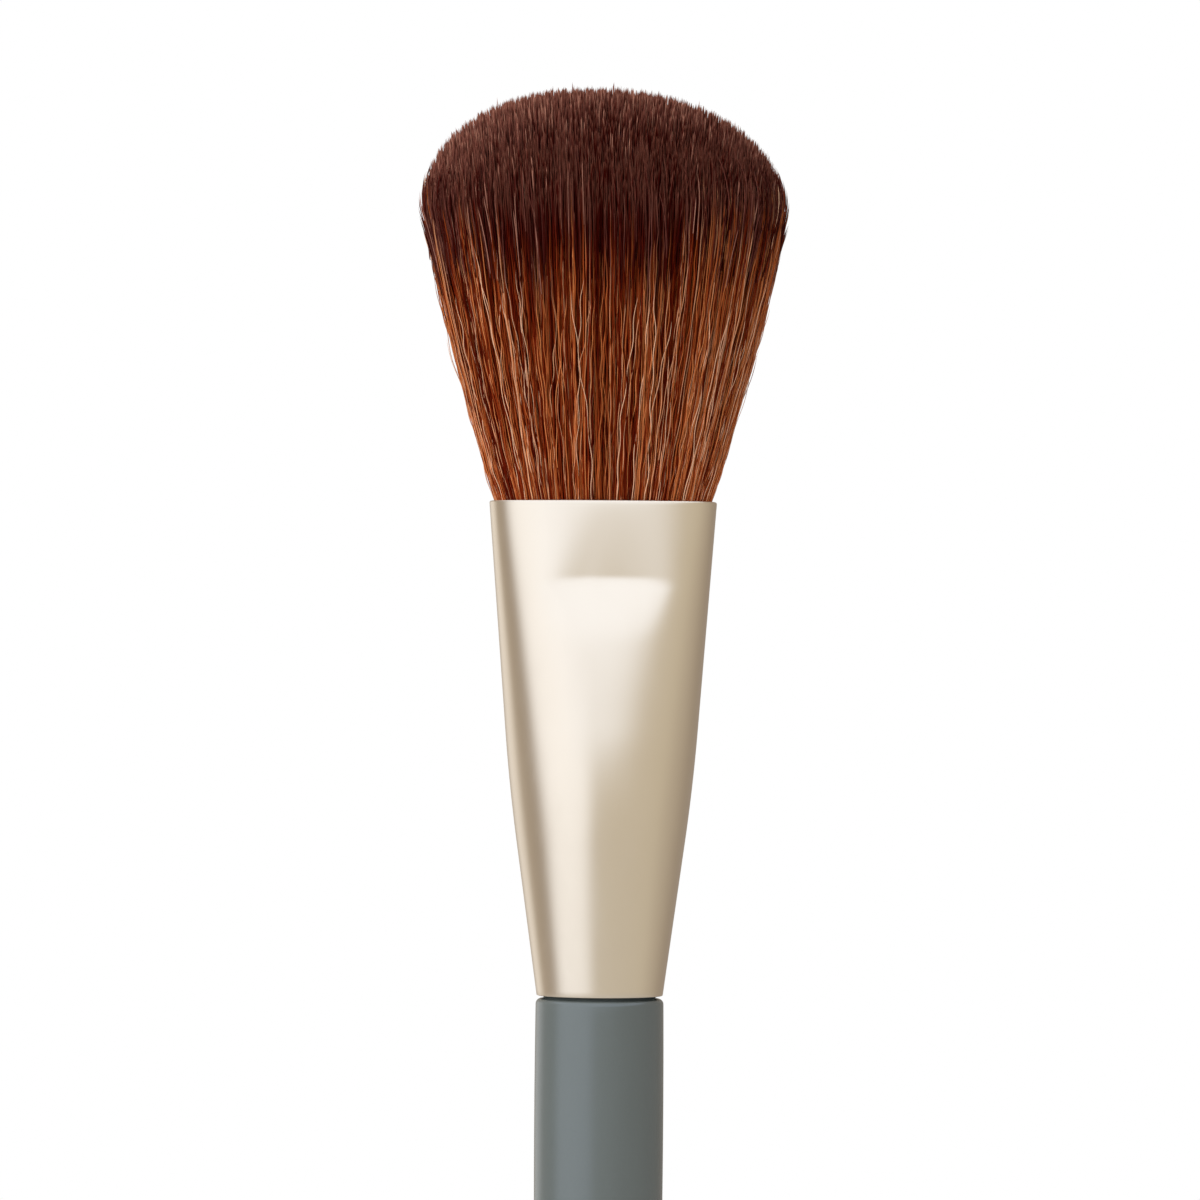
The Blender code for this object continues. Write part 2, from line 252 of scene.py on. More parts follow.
@dataclass(frozen=True)
class SatinMetal(Finish):
    """Anodised aluminium, champagne gold, under a thin clear oxide layer."""

    name: str = "champagne_metal_finish"
    roughness: float = 0.31
    relief: Pair = (0.000003, 0.6)
    colour: Colour = (0.735, 0.640, 0.510)
    deep_colour: Colour = (0.710, 0.612, 0.482)
    roughness_swing: float = 0.07
    coat: float = 0.2
    coat_roughness: float = 0.3
    coat_ior: float = 1.5
    cloud: Grain = Grain(160.0, 3.0)
    drawn: Grain = Grain(5200.0, 3.0, 0.65, 0.06)
    wear: Grain = Grain(420.0, 4.0, upright=0.4)
    fine: Grain = Grain(9000.0, 2.0, 0.6)
    wear_edge: Pair = (0.45, 0.75)
    cloud_share: float = 0.7
    drawn_share: float = 0.6

    def inputs(self, recipe: Recipe) -> Inputs:
        """Cloudy colour, fine drawn grain and soft wear marks."""
        drawn = recipe.noise(self.drawn)
        cloud = recipe.blend(recipe.noise(self.cloud), drawn, self.cloud_share)
        rubbed = recipe.smooth_step(recipe.noise(self.wear), *self.wear_edge)
        worn = recipe.blend(drawn, rubbed, self.drawn_share)
        grain = recipe.blend(drawn, recipe.noise(self.fine), self.drawn_share)
        return {
            "Base Color": recipe.mix(cloud, self.deep_colour, self.colour),
            "Metallic": 1.0,
            "Roughness": self.roughness + self.roughness_swing * (worn - 0.5),
            "Coat Weight": self.coat,
            "Coat Roughness": self.coat_roughness,
            "Coat IOR": self.coat_ior,
            "Normal": recipe.bump(grain, *self.relief),
        }


@dataclass(frozen=True)
class SatinLacquer(Finish):
    """Grey-green satin lacquer sprayed over the handle."""

    name: str = "handle_lacquer_finish"
    roughness: float = 0.25
    relief: Pair = (0.000012, 0.5)
    colour: Colour = (0.136, 0.158, 0.155)
    dark_colour: Colour = (0.119, 0.139, 0.136)
    gloss: float = 0.64
    roughness_swing: float = 0.10
    cloud: Grain = Grain(220.0, 3.0, upright=0.5)
    speck: Grain = Grain(3800.0, 2.0, 0.6)
    peel: Grain = Grain(1500.0)
    wear: Grain = Grain(330.0, 4.0, upright=0.35)
    cloud_share: float = 0.6
    peel_share: float = 0.7

    def inputs(self, recipe: Recipe) -> Inputs:
        """Faint clouds, orange peel and finger rubbing."""
        speck = recipe.noise(self.speck)
        cloud = recipe.blend(recipe.noise(self.cloud), speck, self.cloud_share)
        peel = recipe.blend(recipe.noise(self.peel), speck, self.peel_share)
        rubbed = recipe.noise(self.wear) - 0.5
        return {
            "Base Color": recipe.mix(cloud, self.dark_colour, self.colour),
            "Roughness": self.roughness + self.roughness_swing * rubbed,
            "Specular IOR Level": self.gloss,
            "Normal": recipe.bump(peel, *self.relief),
        }


@dataclass(frozen=True)
class DyedFibre(Finish):
    """Crimped brown fibre, dyed plum towards the tips by a ragged, strand by strand edge.

    The strands carry the shade (0 deep to 1 pale, partly painted light), how far along they
    are (0 at the root, 1 at the tip) and the place along them where the dye begins. Each class
    of strands with one shade and one edge has painted glints of its own along it.
    """

    name: str = "bristle_fibre_finish"
    roughness: float = 0.42
    gloss: float = 0.03
    natural: Stops = (
        (0.00, (0.080, 0.0032, 0.0004)),
        (0.30, (0.210, 0.0190, 0.0032)),
        (0.58, (0.460, 0.0950, 0.0200)),
        (0.80, (0.760, 0.2550, 0.0850)),
        (1.00, (0.980, 0.6000, 0.3900)),
    )
    dyed: Stops = (
        (0.00, (0.052, 0.0016, 0.0002)),
        (0.50, (0.062, 0.0054, 0.0037)),
        (0.88, (0.195, 0.0605, 0.0440)),
        (1.00, (0.590, 0.2740, 0.1920)),
    )
    edge_softness: float = 0.12
    tip_colour: Colour = (0.500, 0.2000, 0.1300)
    tip_share: float = 0.16
    tip_strength: float = 0.25
    class_spread: float = 60.0
    # Painted glints: highlights painted along the strands, one pattern to each class
    painted_glints: float = 16.0
    painted_glint: Grain = Grain(1.0)
    painted_glint_swing: float = 0.56
    dull: float = 0.84
    dull_fall: float = 0.12
    dull_end: float = 0.5

    def inputs(self, recipe: Recipe) -> Inputs:
        """Two ramps by shade, mixed by the dye's edge, with painted glints and paler tips."""
        shade, along, edge = (
            recipe.node("Attribute", attribute_name=name).out("Fac")
            for name in ("shade", "along", "dye_edge")
        )
        natural = recipe.node("ValToRGB", {"Fac": shade}, self.natural)
        dyed = recipe.node("ValToRGB", {"Fac": shade}, self.dyed)
        dye = recipe.smooth_step(along - edge, -self.edge_softness, self.edge_softness)
        parts = {0: shade * self.class_spread, 1: edge * self.class_spread, 2: along * self.painted_glints}
        # Painted glints: highlights painted along each strand
        painted_glint = recipe.noise(self.painted_glint, recipe.node("CombineXYZ", parts)) * self.painted_glint_swing
        dull = self.dull - self.dull_fall * recipe.smooth_step(along, 0.0, self.dull_end)
        colour = recipe.tint(recipe.mix(dye, natural, dyed), dull + painted_glint)
        tip = recipe.smooth_step(along, 1.0 - self.tip_share, 1.0) * dye * self.tip_strength
        return {
            "Base Color": recipe.mix(tip, colour, self.tip_colour),
            "Roughness": self.roughness,
            "Specular IOR Level": self.gloss,
        }


@dataclass(frozen=True)
class PackedFibre(Finish):
    """The dense bundle that shows only between the strands, partly painted shade between them."""

    name: str = "packed_fibre_and_painted_shade"
    roughness: float = 0.6
    relief: Pair = (0.0001, 0.8)
    gloss: float = 0.2
    # Both colours are as dark as the deepest strands, which paints the shade between the strands
    low_colour: Colour = (0.066, 0.0034, 0.0006)
    high_colour: Colour = (0.062, 0.0024, 0.0005)
    streak: Grain = Grain(5000.0, 3.0, 0.6, 0.03)
    ragged: Grain = Grain(900.0, upright=0.1)
    dull: float = 0.5
    dye_height: float = 0.176
    dye_blend: float = 0.005

    def inputs(self, recipe: Recipe) -> Inputs:
        """Upright streaks, deep maroon below and plum above."""
        streak = recipe.noise(self.streak)
        ragged = (recipe.noise(self.ragged) - 0.5) * (2 * self.dye_blend)
        height = recipe.node("SeparateXYZ", {0: recipe.place()}).out("Z") + ragged
        reach = self.dye_height - self.dye_blend, self.dye_height + self.dye_blend
        colour = recipe.mix(recipe.smooth_step(height, *reach), self.low_colour, self.high_colour)
        return {
            "Base Color": recipe.tint(colour, self.dull + streak),
            "Roughness": self.roughness,
            "Specular IOR Level": self.gloss,
            "Normal": recipe.bump(streak, *self.relief),
        }


@dataclass(frozen=True)
class CuredGlue(Finish):
    """Amber glue, set with a few clouds and a wet gloss."""

    name: str = "amber_glue_finish"
    roughness: float = 0.14
    relief: Pair = (0.00008, 0.6)
    colour: Colour = (0.58, 0.40, 0.17)
    deep_colour: Colour = (0.40, 0.24, 0.08)
    roughness_swing: float = 0.16
    cloud: Grain = Grain(350.0, 4.0)
    ripple: Grain = Grain(900.0)

    def inputs(self, recipe: Recipe) -> Inputs:
        """Clouds, duller where they are pale, and ripples."""
        cloud = recipe.noise(self.cloud)
        return {
            "Base Color": recipe.mix(cloud, self.deep_colour, self.colour),
            "Roughness": self.roughness + cloud * self.roughness_swing,
            "Normal": recipe.bump(recipe.noise(self.ripple), *self.relief),
        }


@dataclass(frozen=True)
class WaxedThread(Finish):
    """Off-white waxed thread with its plies laid at a slant."""

    name: str = "waxed_thread_finish"
    roughness: float = 0.55
    relief: Pair = (0.00008, 0.8)
    colour: Colour = (0.70, 0.65, 0.53)
    dark_colour: Colour = (0.42, 0.37, 0.28)
    roughness_swing: float = 0.2
    ply_cells: float = 900.0
    ply_bend: float = 1.5

    def inputs(self, recipe: Recipe) -> Inputs:
        """Slanting plies, duller on their crests."""
        wave = {"Vector": recipe.place(), "Scale": self.ply_cells, "Distortion": self.ply_bend}
        ply = recipe.node("TexWave", wave, wave_type="BANDS", bands_direction="DIAGONAL").out("Fac")
        return {
            "Base Color": recipe.mix(ply, self.dark_colour, self.colour),
            "Roughness": self.roughness + ply * self.roughness_swing,
            "Normal": recipe.bump(ply, *self.relief),
        }


@dataclass(frozen=True)
class StudioPaper(Finish):
    """Matt pale paper that fades out by its distance from the brush."""

    name: str = "studio_paper"
    roughness: float = 0.9
    tones: tuple[Colour, Colour] = ((0.86, 0.86, 0.86), (0.90, 0.90, 0.90))
    grain: Grain = Grain(900.0, 3.0)
    fade: Pair = (0.17, 0.3332)

    def inputs(self, recipe: Recipe) -> Inputs:
        """Faint grain."""
        colour = recipe.mix(recipe.noise(self.grain), *self.tones)
        return {"Base Color": colour, "Roughness": self.roughness}

    def surface(self, recipe: Recipe) -> Socket:
        """The paper, see-through past the fade."""
        apart = recipe.node("VectorMath", {0: recipe.place()}, operation="LENGTH").out("Value")
        shaders = {1: super().surface(recipe), 2: recipe.node("BsdfTransparent")}
        return recipe.node("MixShader", {0: recipe.smooth_step(apart, *self.fade)} | shaders)


def joined(*parts: Array | float) -> Array:
    """Numbers put together as points or corners, each part stretched to fit the others."""
    return np.stack(np.broadcast_arrays(*parts), axis=-1)


def grid_faces(rows: int, columns: int, is_ring: bool) -> Array:
    """Quads of a grid whose columns run round and whose rows climb, facing outwards.

    Each quad takes a point, its neighbour round, and the two above them.

    Args:
        rows: how many rows of points there are.
        columns: how many points one row has.
        is_ring: whether the last row joins the first.

    Returns:
        Point numbers, four to a face.
    """
    low = np.arange(rows if is_ring else rows - 1)[:, None]
    column = np.arange(columns)
    high, after = (low + 1) % rows * columns, (column + 1) % columns
    low = low * columns
    return joined(low + column, low + after, high + after, high + column).reshape(-1, 4)


def capped_mesh(rows: Array, head: Colour, foot: Colour | None = None) -> tuple[Array, Faces]:
    """Join rows of points that climb, with a fan to a point above and one to a point below.

    Args:
        rows: the points, rows by steps by 3.
        head: the point above.
        foot: the point below, or None to leave the first row open.

    Returns:
        The points and the faces.
    """
    count, steps = rows.shape[:2]
    low, after = np.arange(steps), (np.arange(steps) + 1) % steps
    last, size = (count - 1) * steps, count * steps
    faces = grid_faces(count, steps, False).tolist()
    if foot is None:
        ends = [head]
    else:
        ends = [foot, head]
        faces += joined(after, low, size).tolist()
    faces += joined(last + low, last + after, size + len(ends) - 1).tolist()
    return np.concatenate((rows.reshape(-1, 3), ends)), faces


def turned_rows(profile: Array, steps: int) -> Array:
    """Turn a profile about Z: x = radius * cos(angle), y = radius * sin(angle).

    Args:
        profile: (radius, height) points.
        steps: how many points one row has.

    Returns:
        A row of points to each point of the profile.
    """
    angles = np.arange(steps) * FULL_TURN / steps
    radius, height = profile[:, 0, None], profile[:, 1, None]
    return joined(radius * np.cos(angles), radius * np.sin(angles), height)


def arc(centre: Pair, radii: Pair, degrees: Pair, count: int) -> Array:
    """Points of an ellipse's arc in the (radius, height) plane."""
    angles = np.radians(np.linspace(*degrees, count))
    return joined(centre[0] + radii[0] * np.cos(angles), centre[1] + radii[1] * np.sin(angles))


def smooth(share: Array) -> Array:
    """A soft step: 0 below 0, 1 above 1 and 3s^2 - 2s^3 between them."""
    share = np.clip(share, 0.0, 1.0)
    return share * share * (3 - 2 * share)


def superellipse(angles: Array, power: Array) -> tuple[Array, ...]:
    """x = sign(cos) * |cos|^(2/power) and y = sign(sin) * |sin|^(2/power)."""
    sides = np.cos(angles), np.sin(angles)
    return tuple(np.sign(side) * np.abs(side) ** (2 / power) for side in sides)


def ripples(angle: Array, phases: Array, waves: Waves) -> Array:
    """The sum of size * sin(count * angle + phase) over (count, number of phase, size)."""
    return sum(size * np.sin(count * angle + phases[which]) for count, which, size in waves)


def stepped(value: Array, steps: int) -> Array:
    """Shares from 0 to 1 rounded to the middle of one of a few equal steps."""
    return (np.clip(np.floor(value * steps), 0, steps - 1) + 0.5) / steps


def line(start_and_slope: Pair, value: Array) -> Array:
    """A start plus a slope times a value."""
    return start_and_slope[0] + start_and_slope[1] * value


def some(chance: Chance, share: Array | float, count: int) -> Array:
    """True for a share of the strands, picked by chance."""
    return chance.uniform(0.0, 1.0, count) < share


def linked(name: str, data: bpy.types.ID) -> Piece:
    """A new object in the scene."""
    made = bpy.data.objects.new(name, data)
    bpy.context.scene.collection.objects.link(made)
    return made


def add_piece(name: str, points: Array, faces: Faces, material: Material) -> Piece:
    """Put a smooth shaded mesh into the scene, riding on the brush.

    Args:
        name: the piece's name.
        points: its points, in metres, in the frame's own place.
        faces: point numbers of each face, running round its outer side.
        material: its finish.

    Returns:
        The object.
    """
    mesh = bpy.data.meshes.new(name)
    mesh.from_pydata(points.reshape(-1, 3).tolist(), [], faces)
    mesh.shade_smooth()
    mesh.materials.append(material)
    piece = linked(name, mesh)
    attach(piece, BODY)
    log.info("%s: %d points, %d faces", name, len(mesh.vertices), len(mesh.polygons))
    return piece


@dataclass(frozen=True)
class Ferrule:
    """The thin tube: a cone up to the knee, then pressed into an oval with a sunk band.

    The band's pairs are for its left half and its right half.
    """

    base: float
    length: float
    end_radius: float = 0.0068
    wall: float = 0.00045
    knee_height: float = 0.0227
    knee_radius: float = 0.00993
    knee_blend: float = 0.0060
    mouth_half_sizes: Pair = (0.0123, 0.0071)
    mouth_power: float = 2.40
    face_bulge: float = 0.000135
    bulge_middle: float = 0.45
    band_height: float = 0.0088
    band_edge_round: float = 0.0006
    band_sink: float = 0.00089
    band_curve: float = 1.35
    band_ledge: float = 0.0066
    ledge_curve: float = 2.2
    band_half_width: Pair = (0.0048, 0.0046)
    band_narrowing: Pair = (0.42, 0.10)
    band_side_fade: Pair = (0.0064, 0.0090)
    band_skew: float = 75.0
    foot_round: float = 0.0001
    knee_reach: float = 1.5
    ledge_reach: Pair = (-1.1, 0.2)
    outer_rows: tuple[int, ...] = (24, 22, 24, 32, 26)
    inner_rows: int = 30
    round_rows: int = 11
    edge_samples: int = 9
    steps: int = 288

    def plan(self, height: Array) -> tuple[Array, Array, Array]:
        """Outer half width, half depth and plan power at a height above the base.

        The radius of the cone goes on past the knee, less or more by the pressing, which a
        parabola eases in across the blend. The two pressed faces swell by a cosine between
        the knee and the mouth.

        Args:
            height: heights above the ferrule's base.

        Returns:
            Half width, half depth and power.
        """
        rise = (self.knee_radius - self.end_radius) / self.knee_height
        pressed = self.length - self.knee_height
        into = np.clip(height - self.knee_height + self.knee_blend, 0.0, 2 * self.knee_blend)
        past = into * into / (4 * self.knee_blend)
        past = past + np.maximum(height - self.knee_height - self.knee_blend, 0.0)
        radius = self.end_radius + rise * height
        half_width, half_depth = (
            radius + past * ((mouth - self.knee_radius) / pressed - rise)
            for mouth in self.mouth_half_sizes
        )
        share, middle = past / pressed, self.bulge_middle
        swell = np.cos(FULL_TURN * (share - middle)) - math.cos(FULL_TURN * middle)
        half_depth = half_depth + self.face_bulge * swell
        return half_width, half_depth, 2 + (self.mouth_power - 2) * share

    def sunk(self, height: Array) -> Array:
        """Depth of the pressed band: none at the mouth, deepest at its foot, then a ledge.

        The edge between them is rounded by the mean of the depths just below and above.

        Args:
            height: heights above the ferrule's base.

        Returns:
            The depths.
        """
        near = np.linspace(-self.band_edge_round, self.band_edge_round, self.edge_samples)
        above = height[:, None] + near - (self.length - self.band_height)
        inside = np.clip(1 - above / self.band_height, 0.0, 1.0) ** self.band_curve
        ledge = np.clip(1 + above / self.band_ledge, 0.0, 1.0) ** self.ledge_curve
        return self.band_sink * np.where(above >= 0.0, inside, ledge).mean(axis=1)

    def points(self, height: Array, inset: Array) -> Array:
        """Rows of the tube's plan, each at a height and an inset from the outer side.

        Args:
            height: heights above the base, one to a row.
            inset: how far inside the outer side each row lies.

        Returns:
            Points, rows by steps by 3, in the frame's own place.
        """
        angles = np.arange(self.steps) * FULL_TURN / self.steps
        half_width, half_depth, power = self.plan(height)
        x, y = superellipse(angles, power[:, None])
        x, y = (half_width - inset)[:, None] * x, (half_depth - inset)[:, None] * y
        above = np.clip((height - self.length) / self.band_height + 1, 0.0, 1.0)[:, None]
        sizes = self.band_half_width, self.band_narrowing, self.band_side_fade
        half, narrowing, fade = (np.where(x < 0.0, *pair) for pair in sizes)
        side = (half * (1 - narrowing * above) + fade / 2 - np.abs(x)) / fade
        sunk = self.sunk(height)[:, None] * smooth(side) * (1 + self.band_skew * x)
        return joined(x, y - np.sign(y) * sunk, (self.base + height)[:, None])

    def _levels(self) -> Array:
        """Heights of the outer rows: close together at the knee and at the band's ledge.

        Returns:
            The heights, which climb.
        """
        foot = self.length - self.band_height
        knee = self.knee_reach * self.knee_blend
        stations = (
            self.foot_round,
            self.knee_height - knee,
            self.knee_height + knee,
            *(foot + reach * self.band_ledge for reach in self.ledge_reach),
            self.length - self.wall / 2,
        )
        parts = map(np.linspace, stations, stations[1:], self.outer_rows)
        return np.concatenate([stations[:1], *(part[1:] for part in parts)])

    def build(self, material: Material) -> Piece:
        """The tube with a rounded rim and foot: its profile runs up outside and down inside.

        Args:
            material: the metal's finish.

        Returns:
            The piece.
        """
        outer, half = self._levels(), self.wall / 2
        inner = np.linspace(self.length - half, self.foot_round, self.inner_rows)
        turn = np.linspace(0.0, math.pi, self.round_rows + 2)[1:-1]
        rim = self.length - half + half * np.sin(turn)
        foot = self.foot_round - self.foot_round * np.sin(turn)
        height = np.concatenate((outer, rim, inner, foot))
        insets = (
            np.zeros(len(outer)),
            half - half * np.cos(turn),
            np.full(len(inner), self.wall),
            half + half * np.cos(turn),
        )
        points = self.points(height, np.concatenate(insets))
        faces = grid_faces(len(height), self.steps, True).tolist()
        piece = add_piece("ferrule_tube", points, faces, material)
        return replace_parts(piece, "ferrule")


@dataclass(frozen=True)
class Handle:
    """The turned handle, in one piece with the grooved tenon inside the ferrule."""

    length: float
    tenon_top: float
    neck_radius: float = 0.0069
    shoulder_round: float = 0.0006
    belly_radius: float = 0.0072
    belly_drop: float = 0.0300
    tail_radius: float = 0.0064
    tail_height: float = 0.0360
    end_radius: float = 0.0047
    end_height: float = 0.0050
    flat_radius: float = 0.0022
    tenon_radius: float = 0.00605
    tenon_step: float = 0.0001
    tenon_chamfer: float = 0.0008
    groove_heights: Pair = (0.0055, 0.0105)
    groove_half: float = 0.0008
    groove_depth: float = 0.0006
    body_rows: int = 90
    end_rows: int = 24
    shoulder_rows: int = 10
    steps: int = 192

    def _body(self) -> Array:
        """The long side from the end to the shoulder, a cubic Bezier curve.

        Returns:
            (radius, height) points that climb.
        """
        share = np.linspace(1.0, 0.0, self.body_rows)[:, None]
        knots = np.array([
            (self.neck_radius, self.length - self.shoulder_round),
            (self.belly_radius, self.length - self.belly_drop),
            (self.tail_radius, self.tail_height),
            (self.end_radius, self.end_height),
        ])
        rest = 1 - share
        weights = (rest**3, 3 * rest**2 * share, 3 * rest * share**2, share**3)
        return sum(weight * knot for weight, knot in zip(weights, knots))

    def _tenon(self) -> Array:
        """The tenon's side, with its two keyed grooves and the chamfer at its top.

        Returns:
            (radius, height) points that climb.
        """
        half, depth = self.groove_half, self.groove_depth
        radii = self.tenon_radius - depth * np.array((0, 1, 1, 0))
        rises = self.length + np.array((-half - depth, -half, half, half + depth))
        chamfer = self.tenon_chamfer
        return np.concatenate((
            [(self.tenon_radius, self.length + self.tenon_step)],
            *(joined(radii, middle + rises) for middle in self.groove_heights),
            [(self.tenon_radius, self.tenon_top - chamfer)],
            [(self.tenon_radius - chamfer, self.tenon_top)],
        ))

    def build(self, material: Material) -> Piece:
        """The handle turned from its end flat up to the tenon's top.

        Args:
            material: the lacquer's finish.

        Returns:
            The piece.
        """
        flat, low, edge = self.flat_radius, self.end_height, self.shoulder_round
        end = arc((flat, low), (self.end_radius - flat, low), (-90, 0), self.end_rows)
        middle = (self.neck_radius - edge, self.length - edge)
        shoulder = arc(middle, (edge, edge), (0, 90), self.shoulder_rows)
        profile = np.concatenate((end, self._body()[1:], shoulder[1:], self._tenon()))
        rows = turned_rows(profile, self.steps)
        points, faces = capped_mesh(rows, (0.0, 0.0, self.tenon_top), (0.0, 0.0, 0.0))
        piece = add_piece("handle_body", points, faces, material)
        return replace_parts(piece, "handle")


@dataclass(frozen=True)
class Bundle:
    """Many strands at once: their paths, thickness and the numbers that colour them.

    Paths and radii have a row to a strand and a column to a level; shade and dye_edge have
    a number to a strand, and along a number to each level.
    """

    paths: Array
    radii: Array
    along: Array
    shade: Array
    dye_edge: Array

    def part(self, first: int, parts: int) -> "Bundle":
        """One of several parts, each with every so manieth strand."""
        chosen = slice(first, None, parts)
        kept = (numbers[chosen] for numbers in (self.shade, self.dye_edge))
        return Bundle(self.paths[chosen], self.radii[chosen], self.along, *kept)

    def build(self, name: str, turn: Array, material: Material) -> Piece:
        """One closed three sided tube to each strand, as one mesh.

        A ring's corner is the path's point plus the radius times (cos, sin) of the
        strand's own turn plus the corner's share of a full turn.

        Args:
            name: the piece's name.
            turn: the turn of each tube.
            material: the strands' finish.

        Returns:
            The piece.
        """
        count, levels = self.radii.shape
        corner = np.arange(SIDES)
        turn = turn[:, None, None] + corner * FULL_TURN / SIDES
        around = joined(np.cos(turn), np.sin(turn), 0.0)
        tubes = self.paths[:, :-1, None, :] + self.radii[:, :-1, None, None] * around
        points = np.concatenate((tubes.reshape(count, -1, 3), self.paths[:, -1:, :]), axis=1)
        size = points.shape[1]
        last = size - 1 - SIDES
        kinds = (
            grid_faces(levels - 1, SIDES, False),
            joined(last + corner, last + (corner + 1) % SIDES, size - 1),
            corner[None, ::-1],
        )
        start = (np.arange(count) * size)[:, None, None]
        faces = []
        for kind in kinds:
            faces += (kind + start).reshape(-1, kind.shape[1]).tolist()
        piece = add_piece(name, points, faces, material)
        self._carry(piece.data, size)
        self._lay_map(piece.data)
        return piece

    def _carry(self, mesh: bpy.types.Mesh, size: int) -> None:
        """Write the strands' numbers to the mesh's points.

        Args:
            mesh: the strands' mesh.
            size: how many points one tube has.
        """
        along = np.append(np.repeat(self.along[:-1], SIDES), self.along[-1])
        numbers = {
            "shade": np.repeat(self.shade, size),
            "dye_edge": np.repeat(self.dye_edge, size),
            "along": np.tile(along, len(self.shade)),
        }
        for name, values in numbers.items():
            attribute = mesh.attributes.new(name, "FLOAT", "POINT")
            attribute.data.foreach_set("value", values.astype(np.float32))

    def _lay_map(self, mesh: bpy.types.Mesh) -> None:
        """Lay strands of one shade and dye edge on one column of a map, root at the bottom.

        Strands that share a column have the same colours all along, so they may overlap.

        Args:
            mesh: the strands' mesh.
        """
        shade = np.floor(self.shade * SHADE_STEPS)
        edge = np.floor((self.dye_edge - EDGE_LOW) / EDGE_SPAN * EDGE_STEPS)
        columns = SHADE_STEPS * EDGE_STEPS
        left = ((shade * EDGE_STEPS + np.maximum(edge, 0)) / columns)[:, None, None]
        corner = np.arange(SIDES)
        side = np.tile(corner, len(self.along) - 2)
        low, high = (np.repeat(levels, SIDES) for levels in (self.along[:-2], self.along[1:-1]))
        kinds = (
            (joined(side, side + 1, side + 1, side) / SIDES, joined(low, low, high, high)),
            (joined(corner, corner + 1, corner + 0.5) / SIDES, [self.along[-2]] * 2 + [1.0]),
            (np.array([ROOT_ACROSS]), ROOT_UP),
        )
        loops = []
        for u, v in kinds:
            across = left + (COLUMN_MARGIN + (1 - 2 * COLUMN_MARGIN) * u) / columns
            upright = MAP_MARGIN + (1 - 2 * MAP_MARGIN) * np.asarray(v)
            loops.append(joined(across, upright).reshape(-1, 2))
        layer = mesh.uv_layers.new(name="OFBake")
        layer.uv.foreach_set("vector", np.concatenate(loops).astype(np.float32).ravel())


@dataclass(frozen=True)
class Layer:
    """One kind of strand: how many, in how many pieces, and their girth, sway and waves."""

    count: int
    parts: int
    girth: float
    sway: Pair = (0.0, 0.0)
    wave: Pair = (1.0, 1.0)


